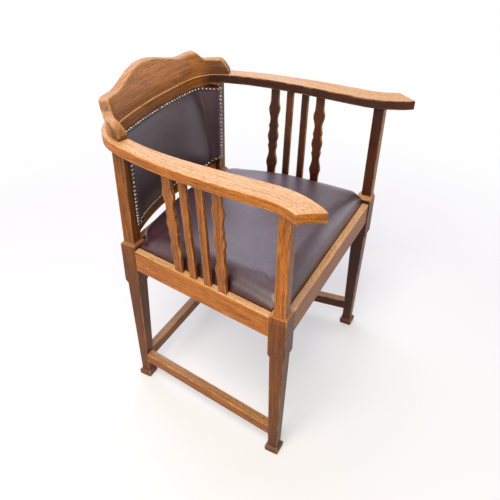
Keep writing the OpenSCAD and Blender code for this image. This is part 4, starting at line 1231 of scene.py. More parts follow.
@dataclass
class Slats:
    """Four slats under each arm, plain in the middle and shaped at the ends."""

    places: tuple[str, ...] = ("slat_rear", "slat_plain_rear", "slat_plain_front",
                               "slat_front")
    middle: float = 203.0
    pitch: float = 40.0
    thickness: float = 9.5
    plain: float = 18.0
    set_in: float = 9.0
    lean: float = 4.0
    arris: float = 1.4
    keys: tuple[Pair, ...] = (
        (0, 28), (0.15, 21.5), (0.21, 25), (0.27, 21), (0.34, 19), (0.57, 29),
        (0.69, 23), (0.73, 21.5), (1.05, 21.5))

    def width(self, t: Array) -> Array:
        """Width of a shaped slat at t, 0 in the middle and 1 at its ends.

        Args:
            t: Places along the slat.

        Returns:
            The widths.
        """
        at, wide = np.array(self.keys).T
        t = np.abs(t)
        k = np.clip(np.searchsorted(at, t, "right") - 1, 0, len(at) - 2)
        share = smooth((t - at[k]) / (at[k + 1] - at[k]))
        return wide[k] + (wide[k + 1] - wide[k]) * share

    def foot(self, y: float) -> Array:
        """Plan point where the slat at depth y stands on the side rail.

        Args:
            y: Depth.

        Returns:
            The point [x, y].
        """
        turn = SIZE.side_turn
        out = (SIZE.face_out - self.set_in) / math.cos(turn)
        return np.array([SIZE.front_x - y * math.tan(turn) + out, y])

    def head(self, y: float) -> Array:
        """Plan point where it meets the middle of the bow.

        Args:
            y: Depth of its foot.

        Returns:
            The point [x, y].
        """
        s = np.linspace(BOW.half / 4, BOW.half, 400)
        line = BOW.inner(s, BOW.width(s) / 2)
        back = y + self.lean
        return np.array([np.interp(-back, -line[:, 1], line[:, 0]), back])

    def build(self, kit: Kit) -> None:
        """Makes the eight slats: rings at each height, slid from foot to head.

        Args:
            kit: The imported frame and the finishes.
        """
        turn = SIZE.side_turn
        along = np.array([-math.sin(turn), math.cos(turn)])
        out = np.array([math.cos(turn), math.sin(turn)])
        f = np.linspace(-0.004, 1.004, 90)
        for k, place in enumerate(self.places):
            y = self.middle + self.pitch * (1.5 - k)
            shaped = k in (0, 3)
            half = self.width(2 * f - 1) / 2 if shaped else np.full(len(f), self.plain / 2)
            ring, marks = rounded(half, np.full(len(f), self.thickness / 2), self.arris)
            foot, head = self.foot(y), self.head(y)
            centre = foot + (head - foot) * f[:, None]
            plan = (centre[:, None] + ring[..., :1] * along + ring[..., 1:] * out)
            z = SIZE.rail_top + (SIZE.bow_under - SIZE.rail_top) * f[:, None]
            rings = grid(plan[..., 0], plan[..., 1], z)
            for j, (word, side) in enumerate(SIDES):
                # The slats get stain plus painted shade above and below the seat.
                kit.oak(f"{place}_{word}", "sawn", mirrored(rings, side), marks,
                        (11.0 + 0.9 * k + 4 * j, 0.2 * k), stain=(0.35, 0.35))


@dataclass
class Bow:
    """The bow of three pieces: the back and the two arms, which end in a cut
    that slants from the outer edge to the inner tip."""

    joint: float = 190.0
    slant: float = 20.0
    radius: float = 2.4
    joint_radius: float = 0.8
    flat: int = 5

    def piece(self, start: float, end: float, slant: float, count: int) -> Array:
        """Rings of a rounded section along the bow.

        Args:
            start: Length from the middle where it starts.
            end: Length where its inner edge ends.
            slant: How much shorter its outer edge is.
            count: Number of stations.

        Returns:
            Rings in plan millimetres.
        """
        long = end - start
        f, draw = eased_ends(np.linspace(0, 1, count), long, self.joint_radius)
        if slant:
            near_end = f > 0.5
            g, more = eased_ends(np.linspace(0, 1, count), long, self.radius)
            f = np.concatenate([f[~near_end], g[g > 0.5]])
            draw = np.concatenate([draw[~near_end], more[g > 0.5]])
        s = start + long * f
        wide = BOW.width(s) / 2
        ring, _ = rounded(wide - draw, SIZE.bow_thickness / 2 - draw, self.radius, self.flat)
        o = ring[..., 0] + wide[:, None]
        back = slant * o / (2 * wide[:, None]) * f[:, None] ** 3
        plan = BOW.inner(s[:, None] - back, o)
        return grid(plan[..., 0], plan[..., 1],
                    SIZE.bow_under + SIZE.bow_thickness / 2 + ring[..., 1])

    def build(self, kit: Kit) -> None:
        """Makes the back piece and the two arms.

        Args:
            kit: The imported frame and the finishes.
        """
        _, marks = rounded(10, 10, self.radius, self.flat)
        back = self.piece(-self.joint, self.joint, 0, 90)
        # The back piece and arms get full painted top light on their upward faces.
        kit.oak("bow_back", "sawn", back, marks, (20.0, 0.1))
        arm = self.piece(self.joint, BOW.half, self.slant, 150)
        for k, (word, side) in enumerate(SIDES):
            kit.oak(f"arm_{word}", "sawn", mirrored(arm, side), marks, (22.0 + 2 * k, 0.3 * k))


@dataclass
class Crest:
    """Shaped crest board on the back of the bow. Its height swells in the
    middle and at two horns. The upper part leans back, and the top is flat
    between two eased arrises."""

    middle: float = 79.0
    dip: float = 53.5
    horn: float = 56.0
    shoulder: float = 35.5
    dip_at: float = 130.0
    horn_at: float = 171.0
    half: float = 264.0
    horn_run: float = 30.0
    end_run: float = 26.0
    end_height: float = 10.0
    lean_from: float = 15.0
    foot_thick: float = 22.9
    set_back: float = 2.6
    top_thick: float = 20.0
    roll: float = 25.0
    arris: float = 2.8

    def height(self, s: Array) -> Array:
        """Height of the board above the bow at length s from the middle.

        Args:
            s: Lengths from the middle.

        Returns:
            The heights.
        """
        s = np.abs(s)
        wave = (1 + np.cos(np.pi * np.clip(s / self.dip_at, 0, 1))) / 2
        inner = self.dip + (self.middle - self.dip) * wave**0.8
        up = self.dip + (self.horn - self.dip) * smooth(
            (s - self.dip_at) / (self.horn_at - self.dip_at))
        down = self.horn + (self.shoulder - self.horn) * smooth((s - self.horn_at) / self.horn_run)
        fall = np.clip((s - self.half + self.end_run) / self.end_run, 0, 1)
        end = self.shoulder - (self.shoulder - self.end_height) * fall**1.8
        limits = (self.dip_at, self.horn_at, self.horn_at + self.horn_run,
                  self.half - self.end_run)
        return np.select([s < limit for limit in limits], [inner, up, down, self.shoulder], end)

    def rings(self) -> tuple[Array, Array]:
        """Rings in the plane across the bow at each station: up the inner face,
        over the top between its arrises and down the outer face.

        Returns:
            Rings in plan millimetres and their arris marks.
        """
        squeeze = np.pi / 2 * 0.94
        s = self.half * np.sin(np.linspace(-1, 1, 260) * squeeze) / math.sin(squeeze)
        top = self.height(s)[:, None]
        a = np.linspace(0, np.pi / 2, 5)
        f = np.concatenate([[0, 0.02], np.linspace(0.1, 0.93, 11), [0.98]])
        flat = np.array([0.06, 0.5, 0.94])
        share = np.concatenate([np.zeros(19), flat, np.ones(19)])
        near = np.concatenate([0 * f, 1 - np.cos(a), 1 - 2 * flat, np.sin(a) - 1, 0 * f])
        up = np.concatenate([0 * f, np.sin(a), np.ones(3), np.cos(a), 0 * f])
        k = np.concatenate([f, np.ones(13), f[::-1]])
        h = (top - self.arris) * k + self.arris * up
        thick = self.foot_thick + (self.top_thick - self.foot_thick) * h / self.middle
        above = np.maximum(0, h - self.lean_from) / (self.middle - self.lean_from)
        lean = self.roll * above**1.3
        o = self.set_back + lean + thick * share + self.arris * near
        plan = BOW.inner(s[:, None], o)
        rings = grid(plan[..., 0], plan[..., 1], SIZE.bow_top + h)
        return rings, np.concatenate([0 * f, np.ones(5), np.zeros(3), np.ones(5), 0 * f])

    def build(self, kit: Kit) -> None:
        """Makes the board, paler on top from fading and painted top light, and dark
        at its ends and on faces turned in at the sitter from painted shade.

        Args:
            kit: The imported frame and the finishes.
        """
        rings, marks = self.rings()
        # Painted top light on the upward faces, painted shade on the ends and inward faces.
        kit.oak("crest_rail", "carved", rings, marks, (30.0, 0.4), 50, stain=(0.0, 0.0),
                fade=0.45, ends=0.8, worn=0.16)


@dataclass
class ClothPass:
    """Cloth simulation that settles a closed padded form: air pressure inside,
    gravity off, its seams held, and its movement capped."""

    pressure: float = 4.0
    stretch: float = 40.0
    bend: float = 4.0
    frames: int = 20
    cap: float = 3.0
    evening: int = 14

    def settle(self, obj: Object, held: Array) -> None:
        """Simulates the piece and applies the result to its mesh.

        Args:
            obj: A closed form, which is welded already.
            held: For each vertex, 1 where it stays and 0 where it is free.
        """
        scene, mesh = bpy.context.scene, obj.data
        rest = read(mesh.vertices, "co", 3)
        group = obj.vertex_groups.new(name="held")
        levels = np.round(held, 1)
        for level in np.unique(levels[levels > 0]):
            group.add(np.nonzero(levels == level)[0].tolist(), float(level), "REPLACE")
        cloth = obj.modifiers.new("settle", "CLOTH")
        for key, value in (("vertex_group_mass", group.name), ("quality", 6), ("mass", 0.5),
                           ("tension_stiffness", self.stretch),
                           ("compression_stiffness", self.stretch),
                           ("bending_stiffness", self.bend), ("use_pressure", True),
                           ("uniform_pressure_force", self.pressure)):
            setattr(cloth.settings, key, value)
        cloth.settings.effector_weights.gravity = 0
        cloth.point_cache.frame_end = self.frames
        for frame in range(1, self.frames + 1):
            scene.frame_set(frame)
        done = obj.evaluated_get(bpy.context.evaluated_depsgraph_get()).to_mesh()
        moved = read(done.vertices, "co", 3) - rest
        step = self.evened(mesh, moved) * (1 - held)[:, None]
        far = np.linalg.norm(step, axis=1)[:, None]
        step = step * np.minimum(1, self.cap * MM / np.maximum(far, 1e-9))
        obj.modifiers.remove(cloth)
        obj.vertex_groups.remove(group)
        mesh.vertices.foreach_set("co", (rest + step).ravel())
        mesh.update()
        scene.frame_set(1)
        LOG.info("%s: moved up to %.1f mm", obj.name, float(far.max()) / MM)

    def evened(self, mesh: Mesh, step: Array) -> Array:
        """Evens a movement out between neighbouring vertices, so that taut
        leather keeps its swell and loses the simulation's short wrinkles.

        Args:
            mesh: The mesh whose vertices move.
            step: Movement of each vertex.

        Returns:
            The evened movement.
        """
        edges = read(mesh.edges, "vertices", 2, int)
        near, other = edges.T
        degree = np.maximum(np.bincount(edges.ravel(), minlength=len(step)), 1)[:, None]
        for _ in range(self.evening):
            total = np.zeros_like(step)
            np.add.at(total, near, step[other])
            np.add.at(total, other, step[near])
            step = (step + total / degree) / 2
        return step


def sheet(name: str, front: Array, rear: Array, sharp: float = 50.0) -> Object:
    """Closed sheet between two grids of points of the same size.

    Args:
        name: Piece name.
        front: Grid [rows, columns, 3] in plan millimetres.
        rear: The grid behind it.
        sharp: Edges that turn by more degrees than this stay sharp.

    Returns:
        The new object.
    """
    n, m = front.shape[:2]
    verts = in_frame(np.concatenate([front.reshape(-1, 3), rear.reshape(-1, 3)]))
    a = (np.arange(n - 1)[:, None] * m + np.arange(m - 1)).ravel()
    face = np.stack([a, a + 1, a + m + 1, a + m], 1)
    off = n * m
    ring = np.concatenate([np.arange(m - 1), np.arange(n - 1) * m + m - 1,
                           off - 1 - np.arange(m - 1), (n - 1 - np.arange(n - 1)) * m])
    after = np.roll(ring, -1)
    rim = np.stack([after, ring, ring + off, after + off], 1)
    return make_object(name, verts, [face, face[:, ::-1] + off, rim], sharp=sharp)


@dataclass
class Back:
    """The padded back: a curved lower rail, a rail under the bow, leather over
    a crowned pad with its edge nailed all round, and a leather cover behind."""

    rail_low: float = 447.0
    rail_high: float = 481.0
    rail_radius: float = 600.0
    rail_forward: float = 18.0
    rail_thick: float = 20.0
    rail_arrises: Pair = (1.6, 1.0)
    under_bow: float = 20.0
    upper_rail: Pair = (1.0, 17.0)
    hide: float = 1.8
    cover: float = 1.6
    pad: float = 16.5
    wrap: float = 24.0
    nail_gap: float = 10.0
    nail_head: float = 8.0
    nail_rise: float = 2.8
    nail_in: float = 5.0
    nail_out: float = 6.0
    hide_out: float = 11.5
    below_bow: float = 5.0
    lap: float = 8.0
    corner_lift: float = 15.0
    corner_run: float = 36.0
    crowding: float = 0.86
    seed: int = 7
    tilt: float = 0.05

    @property
    def top(self) -> float:
        """Height of the leather's upper edge."""
        return SIZE.bow_under - self.below_bow

    @property
    def bottom(self) -> float:
        """Height of its lower edge."""
        return self.rail_high - self.lap

    def arc(self, x: Array, extra: float = 0.0) -> Array:
        """Depth of the lower rail's arc at x, at a distance behind its face."""
        middle = BOW.back_y - BOW.widths[0] / 2 - self.rail_forward - self.rail_radius
        return middle + np.sqrt((self.rail_radius + extra) ** 2 - x * x)

    def under(self, x: Array, o: float) -> Array:
        """Depth at x of the line that lies o outside the bow's inner edge.

        Args:
            x: Places across.
            o: Distance outside the inner edge.

        Returns:
            The depths.
        """
        s = np.linspace(0, BOW.half / 2, 600)
        line = BOW.inner(s, o)
        return np.interp(np.abs(x), line[:, 0], line[:, 1])

    def between(self, x: Array, z: Array, low: float = 0.0,
                high: float = 1.0) -> Array:
        """Depth of the surface ruled from the lower rail to the upper one.

        Args:
            x: Places across.
            z: Heights.
            low: Distance behind the lower rail's face.
            high: Distance outside the bow's inner edge.

        Returns:
            The depths.
        """
        v = np.clip((z - self.rail_high) / (SIZE.bow_under - self.under_bow - self.rail_high),
                    0, 1)
        return self.arc(x, low) * (1 - v) + self.under(x, high) * v

    def leather(self, x: Array, z: Array) -> Array:
        """Depth of the leather's front: rails in the middle, posts at the sides,
        less the gap, its thickness and the crown of the pad.

        Args:
            x: Places across.
            z: Heights.

        Returns:
            The depths.
        """
        post = SIZE.post_in
        wrap = smooth((np.abs(x) - post + self.wrap) / self.wrap)
        u = np.minimum(1, np.abs(x) / post)
        v = np.clip((2 * z - self.top - self.bottom) / (self.top - self.bottom - 20), -1, 1)
        crown = self.pad * (1 - u**3.4) * (1 - np.abs(v) ** 2.2)
        plain = self.between(np.minimum(np.abs(x), post - 1), z)
        return (plain * (1 - wrap) + SIZE.post_front * wrap
                - SIZE.soft_gap - self.hide - crown)

    def lifted(self, x: Array, z: Array) -> Array:
        """Heights with the leather's lower edge raised beside the posts.

        Args:
            x: Places across.
            z: Heights.

        Returns:
            The new heights.
        """
        near_post = np.abs(x) - SIZE.post_in + self.corner_run
        lift = self.corner_lift * smooth(near_post / self.corner_run)
        middle, half = (self.top + self.bottom) / 2, (self.top - self.bottom) / 2 - 10
        return z + lift * np.clip((middle - z) / half, 0, 1) ** 2

    def nail_places(self) -> Array:
        """Points [x, z] of the nails: rows along the top and bottom, evenly
        spaced along the leather, and lines up the sides.

        Returns:
            The points.
        """
        out = SIZE.post_in + self.nail_out
        low, high = self.bottom + self.nail_in, self.top - self.nail_in
        rows = []
        for z in (high, low):
            x = np.linspace(0, out, 200)
            run = running(np.stack([x, self.leather(x, z)], 1))
            n = int(run[-1] // self.nail_gap)
            k = np.arange(-n, n + 1)
            rows.append(np.stack([np.sign(k) * np.interp(np.abs(k) * run[-1] / n, run, x),
                                  np.full(len(k), z)], 1))
        n = int((high - low) // self.nail_gap)
        z = low + (high - low) * np.arange(1, n) / n
        for side in (-1, 1):
            rows.append(np.stack([np.full(len(z), side * out), z], 1))
        places = np.concatenate(rows)
        places[:, 1] = self.lifted(*places.T)
        return places

    def nails(self) -> Object:
        """Domed heads: rings of a low dome at each place, facing out of the leather.

        Returns:
            One object with all heads.
        """
        rng = np.random.default_rng(self.seed)
        place = self.nail_places()
        x, z = place.T
        dx = (self.leather(x + 1, z) - self.leather(x - 1, z)) / 2
        dz = (self.leather(x, z + 2) - self.leather(x, z - 2)) / 4
        out = np.stack([dx, -np.ones_like(dx), dz], 1) + rng.normal(0, self.tilt, (len(x), 3))
        out /= np.linalg.norm(out, axis=1)[:, None]
        right = np.cross(out, [0, 0, 1.0])
        right /= np.linalg.norm(right, axis=1)[:, None]
        up = np.cross(right, out)
        m, a = 12, np.linspace(0, np.pi / 2, 5)[:-1]
        t = np.arange(m) * 2 * np.pi / m
        radius = self.nail_head / 2 * np.cos(a)[:, None]
        height = self.nail_rise * np.sin(a)[:, None]
        ring = grid(radius * np.cos(t), radius * np.sin(t), height).reshape(-1, 3)
        dome = np.concatenate([ring, [[0, 0, self.nail_rise], [0, 0, 0]]])
        base = np.stack([x, self.leather(x, z), z], 1) + out * SIZE.soft_gap
        verts = (base[:, None] + dome[None, :, :1] * right[:, None]
                 + dome[None, :, 1:2] * up[:, None] + dome[None, :, 2:] * out[:, None])
        k = np.arange(m)
        cap = np.stack([3 * m + k, 3 * m + (k + 1) % m, np.full(m, 4 * m)], 1)
        under = np.stack([(k + 1) % m, k, np.full(m, 4 * m + 1)], 1)
        step = (np.arange(len(x)) * len(dome))[:, None, None]
        faces = [(bands(len(a), m)[None] + step).reshape(-1, 4),
                 (np.concatenate([cap, under])[None] + step).reshape(-1, 3)]
        return make_object("back_nail_heads", in_frame(verts.reshape(-1, 3)), faces, sharp=60)

    def hide_grid(self, columns: int = 150, rows: int = 84) -> tuple[Array, Array]:
        """Front and rear grids of the leather, closer together near its edges.

        Args:
            columns: Points across.
            rows: Points upward.

        Returns:
            Both grids [rows, columns, 3].
        """
        out = SIZE.post_in + self.hide_out
        u, v = np.linspace(-1, 1, columns), np.linspace(-1, 1, rows)
        x = np.sign(u) * out * np.abs(u) ** self.crowding
        z = (self.top + self.bottom) / 2 + (self.top - self.bottom) / 2 * (
            np.sign(v) * np.abs(v) ** self.crowding)
        x, z = np.meshgrid(x, z)
        z = self.lifted(x, z)
        waves = [(0.021, 0.017, 0.4, 0.3), (-0.034, 0.029, 2.1, 0.2), (0.055, 0.043, 1.2, 0.1)]
        free = np.clip((1 - np.abs(u) ** 6)[None] * (1 - np.abs(v) ** 6)[:, None], 0, 1)
        y = self.leather(x, z) + ripple(np.stack([x, z], -1), waves) * free
        return grid(x, y, z), grid(x, self.leather(x, z) + self.hide, z)

    def rails(self, kit: Kit) -> None:
        """Makes the lower rail and the one under the bow, each an oblong section
        carried along the chair's width between its two curved faces.

        Args:
            kit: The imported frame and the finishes.
        """
        x = np.linspace(-SIZE.post_in - 1, SIZE.post_in + 1, 61)
        inner, outer = self.upper_rail
        low_arris, high_arris = self.rail_arrises
        for name, near, far, faces, section, offset in (
                ("lower_back_rail", self.arc(x), self.arc(x, self.rail_thick),
                 (0, self.rail_thick), (self.rail_low, self.rail_high, low_arris), (34.0, 0.2)),
                ("upper_back_rail", self.under(x, inner), self.under(x, outer), (inner, outer),
                 (SIZE.bow_under - self.under_bow, SIZE.bow_under, high_arris), (36.0, 0.3))):
            outline, marks = oblong(*faces, *section)
            share = (outline[:, 0] - faces[0]) / (faces[1] - faces[0])
            y = near[:, None] + share * (far - near)[:, None]
            kit.oak(name, "sawn", grid(x[:, None], y, outline[:, 1]), marks, offset)

    def build(self, kit: Kit) -> None:
        """Makes the rails, the leather, the nails and the cover behind.

        Args:
            kit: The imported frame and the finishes.
        """
        self.rails(kit)
        front, rear = self.hide_grid()
        hide = sheet("back_leather_hide", front, rear, 60)
        n, m = front.shape[:2]
        u, v = np.linspace(-1, 1, m), np.linspace(-1, 1, n)
        edge = np.maximum(np.abs(u)[None] ** 4, np.abs(v)[:, None] ** 4)
        held = np.clip((edge - 0.45) / 0.25, 0, 1)
        ClothPass(cap=1.5).settle(hide, np.concatenate([held.ravel(), np.ones(n * m)]))
        kit.finish(hide, Slot.BACK, FRAME_BODY, "back_leather", "back_padding")
        kit.finish(self.nails(), Slot.NAILS, FRAME_BODY, "back_nails")
        x, z = np.meshgrid(np.linspace(1 - SIZE.post_in, SIZE.post_in - 1, 90),
                           np.linspace(self.rail_low + 4, SIZE.bow_under - 1, 60))
        u, v = x / SIZE.post_in, (z - (z.max() + z.min()) / 2) / ((z.max() - z.min()) / 2)
        y = self.between(x, z, self.rail_thick, self.upper_rail[1]) + SIZE.soft_gap
        y = y - 1.5 * (1 - u**4) * (1 - v**4) * smooth((1 - np.abs(v)) * 4)
        cover = sheet("back_cover_hide", grid(x, y, z), grid(x, y + self.cover, z), 60)
        kit.finish(cover, Slot.BACK, FRAME_BODY, "back_cover")


@dataclass
class DropSeat:
    """Drop-in seat: leather over a crowned pad, its sides drawn in to the frame
    and its corners notched round the leg blocks, black cloth tacked below.

    The leather is rings about the middle. The outer ones climb the side and roll
    over the notched outline, and further in they follow it without notches."""

    gap: float = 0.8
    edge: float = 33.0
    arch: float = 14.0
    crown: float = 20.0
    roll: Pair = (42.0, 26.0)
    notch_roll: float = 8.0
    corner_cut: Pair = (24.0, 20.0)

    @property
    def front(self) -> float:
        """Depth of the front edge, a gap behind the front rail's border."""
        return SIZE.rail_border - SIZE.face_out + self.gap

    @property
    def rear(self) -> float:
        """Depth of the rear edge."""
        return SIZE.depth - self.front

    @property
    def middle(self) -> float:
        """Depth of the middle, which the rings go round."""
        return SIZE.depth / 2

    @property
    def notches(self) -> tuple[Pair, Pair]:
        """Inner corners of the front and rear notches, a gap off the leg blocks."""
        clear = SIZE.block / 2 + self.gap
        return ((SIZE.front_x - clear, clear), (SIZE.rear_x - clear, SIZE.depth - clear))

    def side(self, y: float | Array, i: float = 0.0) -> float | Array:
        """Half width of the seat at depth y, drawn in by i.

        Args:
            y: Depth.
            i: How far it is drawn in.

        Returns:
            The half width.
        """
        turn = SIZE.side_turn
        return (SIZE.front_x - y * math.tan(turn)
                + (SIZE.face_out - SIZE.rail_border - self.gap - i) / math.cos(turn))

    def reach(self, a: Array, notched: bool) -> Array:
        """Distance from the middle to the outline at angle a, on the right half
        plane, where -90 degrees is the front.

        Args:
            a: Angles in radians.
            notched: Whether the corners are cut for the leg blocks.

        Returns:
            Distances in millimetres.
        """
        sin, cos = np.sin(a), np.maximum(np.cos(a), 1e-4)
        with np.errstate(divide="ignore", invalid="ignore"):
            far = 9999.0
            r = np.where(sin < -0.01, (self.front - self.middle) / sin, far)
            r = np.minimum(r, np.where(sin > 0.01, (self.rear - self.middle) / sin, far))
            lean = cos + sin * math.tan(SIZE.side_turn)
            r = np.minimum(r, np.where(lean > 0.01, self.side(self.middle) / lean, far))
            wide, deep = self.corner_cut
            edge = self.notches[1][0]
            long, start = math.hypot(wide, deep), self.rear - deep - self.middle
            nx, ny = deep / long, wide / long
            facing = nx * cos + ny * sin
            cut = np.where(facing > 0.01, (nx * edge + ny * start) / facing, far)
            beyond = a > math.atan2(start, edge) - 1e-4
            r = np.where(beyond | (not notched), np.minimum(r, cut), r)
            if notched:
                for (x, y), sign in zip(self.notches, (-1, 1)):
                    cut = np.maximum(x / cos, (y - self.middle) / sin)
                    r = np.minimum(r, np.where(sign * sin > 0.01, cut, far))
        return r

    def height(self, x: Array, y: Array) -> Array:
        """Height of the crowned top at a plan point, lowest at the corners.

        Args:
            x: Places across.
            y: Depths.

        Returns:
            The heights.
        """
        u = np.clip(np.abs(x) / self.side(y), 0, 1)
        v = np.clip(np.abs(y - self.middle) / (self.rear - self.middle), 0, 1)
        return (SIZE.rail_top + self.edge + self.arch * (1 - (u * v) ** 1.5)
                + (self.crown - self.arch) * (1 - u**2.4) * (1 - v**2.4))

    def fallen(self, x: Array, y: Array) -> Array:
        """How far the pad's edge has rolled down at a plan point: a quarter
        ellipse along each side and across each rear corner, added up as squares.

        Args:
            x: Places across.
            y: Depths.

        Returns:
            How far it is down at each.
        """
        across, down = self.roll
        wide, deep = self.corner_cut
        nx, ny = deep / math.hypot(wide, deep), wide / math.hypot(wide, deep)
        corner = nx * self.notches[1][0] + ny * (self.rear - deep)
        away = np.stack([(self.side(y) - np.abs(x)) * math.cos(SIZE.side_turn),
                         y - self.front, self.rear - y, corner - nx * np.abs(x) - ny * y])
        ease = 1 - np.sqrt(1 - (1 - np.clip(away / across, 0, 1)) ** 2)
        return down * np.minimum(1, np.sqrt((ease**2).sum(0)))

    def angles(self, count: int = 260) -> Array:
        """Angles of the rings' points, evenly spaced along the outline, with a
        point at each corner.

        Args:
            count: Number of points.

        Returns:
            Angles in radians.
        """
        fine = np.linspace(-np.pi / 2, 1.5 * np.pi, 6001)[:-1]
        r = self.reach(folded(fine), True)
        run = running(np.stack([r * np.cos(fine), self.middle + r * np.sin(fine)], -1))
        return np.interp(np.linspace(0, run[-1], count, endpoint=False), run, fine)

    def rings(self) -> Array:
        """Rings of the leather: five up its side, eleven round the roll of the
        edge and the rest across the crown, with faint hollows of long use.

        Returns:
            Rings in plan millimetres.
        """
        angles = self.angles()
        fold = folded(angles)
        wall, open_edge = self.reach(fold, True), self.reach(fold, False)
        window = np.hanning(13)
        notch = np.convolve(np.tile(smooth((open_edge - wall) / 6), 3), window, "same")
        notch = notch[len(wall):2 * len(wall)] / window.sum()
        roll = self.roll[0] + (self.notch_roll - self.roll[0]) * notch
        turn = np.linspace(np.pi / 2, 0, 11)
        s = np.linspace(0.985, 0.03, 44)[:, None]
        k = smooth((0.97 - s) / 0.35)
        inner = s * ((wall - roll) * (1 - k) + open_edge * 0.93 * k)
        r = np.concatenate([np.repeat(wall[None], 5, 0),
                            wall - roll * (1 - np.sin(turn))[:, None], inner])
        x, y = r * np.cos(angles), self.middle + r * np.sin(angles)
        top = self.height(x, y)
        drop = np.concatenate([np.ones(5), 1 - np.cos(turn), np.zeros(len(s))])[:, None]
        z = top - self.fallen(x, y) - drop * self.notch_roll * notch
        base = SIZE.ledge + SIZE.soft_gap
        f = np.array([0, 0.06, 0.35, 0.6, 0.85])[:, None]
        z[:5] = base + (z[5] - base) * f
        rings = np.stack([x, y, z], -1)
        t = np.concatenate([np.ones(5), np.full(len(turn), 0.97), 0.95 * s[:, 0]])
        waves = [(0.019, 0.013, 0.8, 0.5), (-0.027, 0.031, 2.6, 0.35), (0.046, -0.037, 0.3, 0.15)]
        rings[..., 2] += ripple(rings[..., :2], waves) * smooth((0.97 - t) * 8)[:, None]
        return rings

    def build(self, kit: Kit) -> None:
        """Makes the leather, and eases the dust cloth and the tacks under it.

        Args:
            kit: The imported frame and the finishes.
        """
        rings = self.rings()
        cushion = loft("seat_leather_cushion", rings, sharp=70)
        held = np.clip((SIZE.rail_top + 10 - rings[..., 2]) / 8, 0, 1).ravel()
        ClothPass(cap=2.5).settle(cushion, np.concatenate([held, [1, 0]]))
        kit.finish(cushion, Slot.SEAT, SEAT_BODY, "seat_leather", "seat_padding")
        kit.worked("seat_dust_cloth", "seat_dust_cloth_cut", 0.2, Slot.DUST, SEAT_BODY)
        kit.worked("seat_tacks", "seat_tack_heads", 0.25, Slot.STEEL, SEAT_BODY, 1.0)


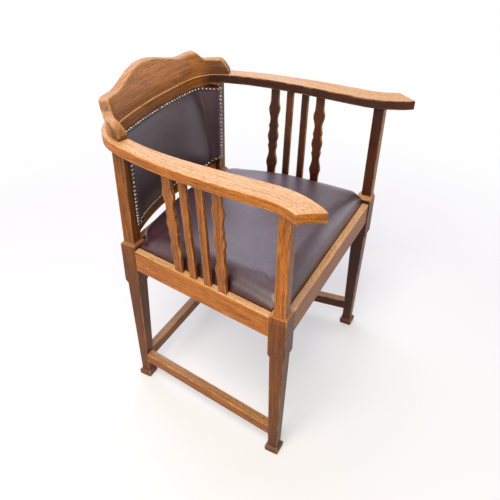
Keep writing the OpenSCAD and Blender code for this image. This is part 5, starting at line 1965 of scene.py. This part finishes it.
@dataclass
class Studio:
    """Plain pale floor, four soft lamps round the chair, and the camera."""

    azimuth: float = -62.02
    elevation: float = 36.57
    roll: float = 0.41
    target: Triple = (0.0, 230.0, 350.0)
    distance: float = 1520.67
    focal: float = 593.27
    centre: Pair = (241.67, 251.54)
    photo: float = 500.0
    lift: float = 0.4
    ambient: float = 0.2

    def camera(self) -> None:
        """Places the camera at the photo's angle."""
        data = bpy.data.cameras.new("camera")
        camera = linked("camera", data)
        a, e = math.radians(self.azimuth), math.radians(self.elevation)
        back = Vector((math.sin(a) * math.cos(e), -math.cos(a) * math.cos(e), math.sin(e)))
        target = Vector((self.target[0], self.target[1] + SIZE.shift_y, self.target[2])) * MM
        place = target + back * self.distance * MM
        right = Vector((math.cos(a), math.sin(a), 0))
        up = back.cross(right)
        r = math.radians(self.roll)
        right, up = right * math.cos(r) + up * math.sin(r), up * math.cos(r) - right * math.sin(r)
        turn = Matrix((right, up, back)).transposed().to_4x4()
        camera.matrix_world = Matrix.Translation(place) @ turn
        data.sensor_width = 36.0
        data.lens = self.focal / self.photo * data.sensor_width
        data.shift_x = (self.photo / 2 - self.centre[0]) / self.photo
        data.shift_y = (self.centre[1] - self.photo / 2) / self.photo
        data.clip_start, data.clip_end = 0.05, 60
        data.dof.use_dof = False
        bpy.context.scene.camera = camera

    def lamp(self, name: str, place: Triple, size: float,
             power: float, tint: str) -> Object:
        """Square area lamp that faces the chair.

        Args:
            name: Its name.
            place: Where it hangs, in metres.
            size: Side of the square.
            power: Watts.
            tint: Its colour.

        Returns:
            The lamp.
        """
        data = bpy.data.lights.new(name, "AREA")
        data.shape, data.size, data.energy = "SQUARE", size, power
        data.color = linear(tint)[:3]
        obj = linked(name, data)
        obj.location = place
        look = Vector((0, 0, 0.4)) - Vector(place)
        obj.rotation_euler = look.to_track_quat("-Z", "Y").to_euler()
        return obj

    def floor(self) -> Object:
        """Round pale floor under the chair.

        Returns:
            The floor.
        """
        t = np.linspace(0, 2 * np.pi, 128, endpoint=False)
        verts = np.concatenate([np.stack([9 * np.cos(t), 9 * np.sin(t), 0 * t], 1),
                                [[0, 0, 0]]])
        k = np.arange(128)
        obj = make_object("floor", verts, [np.stack([k, (k + 1) % 128, np.full(128, 128)], 1)])
        n = Nodes(bpy.data.materials.new("pale_floor"))
        light = n.add("LightPath").outputs
        seen = n.math("MAXIMUM", light["Is Camera Ray"], light["Is Glossy Ray"])
        tone = n.blend(seen, linear("c4c2c0"), linear("f4f3f2"))
        plain = n.principled(Base_Color=tone, Roughness=0.9, Specular_IOR_Level=0.1)
        at = n.add("TexCoord").outputs["Object"]
        far = n.add("VectorMath", {0: at}, operation="LENGTH").outputs["Value"]
        share = n.math("MULTIPLY", seen, n.ramp(far, 0.7, 1.7, self.lift, 1.0))
        glow = n.add("Emission", {"Color": linear("ffffff"), "Strength": 1.0})
        n.show(n.add("MixShader", {0: share, 1: plain.outputs[0], 2: glow.outputs[0]}))
        obj.data.materials.append(n.owner)
        return obj

    def build(self) -> None:
        """Makes the floor, lamps, background and camera, none of them the object."""
        stage = [self.floor(),
                 self.lamp("key", (-1.5, -0.3, 2.65), 1.3, 68, "fff8ee"),
                 self.lamp("side", (-2.8, 0.5, 0.9), 1.6, 36, "fff4e4"),
                 self.lamp("window", (1.55, 1.4, 2.65), 2.6, 60, "e8e6ff"),
                 self.lamp("fill", (2.2, -1.3, 1.0), 1.4, 10, "f4f0ff")]
        world = bpy.data.worlds.new("studio")
        n = Nodes(world)
        ray = n.add("LightPath").outputs
        seen = n.math("MAXIMUM", ray["Is Camera Ray"], ray["Is Glossy Ray"])
        seen = n.math("MAXIMUM", seen, ray["Is Transmission Ray"])
        light = n.add("Background", {0: linear("f2f4f8"), 1: self.ambient})
        white = n.add("Background", {0: linear("ffffff"), 1: 1.0})
        mix = n.add("MixShader", {0: seen, 1: light.outputs[0], 2: white.outputs[0]})
        n.show(mix, "World")
        bpy.context.scene.world = world
        bpy.context.scene.view_settings.view_transform = "Standard"
        self.camera()


def main() -> None:
    """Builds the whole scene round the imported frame."""
    logging.basicConfig(level=logging.INFO, format="%(name)s: %(message)s")
    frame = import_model()
    kit = Kit(frame)
    for assembly in (Leg("front"), Leg("rear"), SeatRails(), Slats(), Bow(), Crest(),
                     Back(), DropSeat()):
        assembly.build(kit)
    for end in ("front", "rear"):
        for word, _ in SIDES:
            name = f"corner_block_{end}_{word}"
            kit.worked(name, f"{name}_sawn", 1.0, Slot.OAK, FRAME_BODY)
    kit.worked("corner_block_screws", "corner_block_screws_turned", 0.15, Slot.STEEL,
               FRAME_BODY, 1.5)
    Studio().build()


if __name__ == "__main__":
    main()
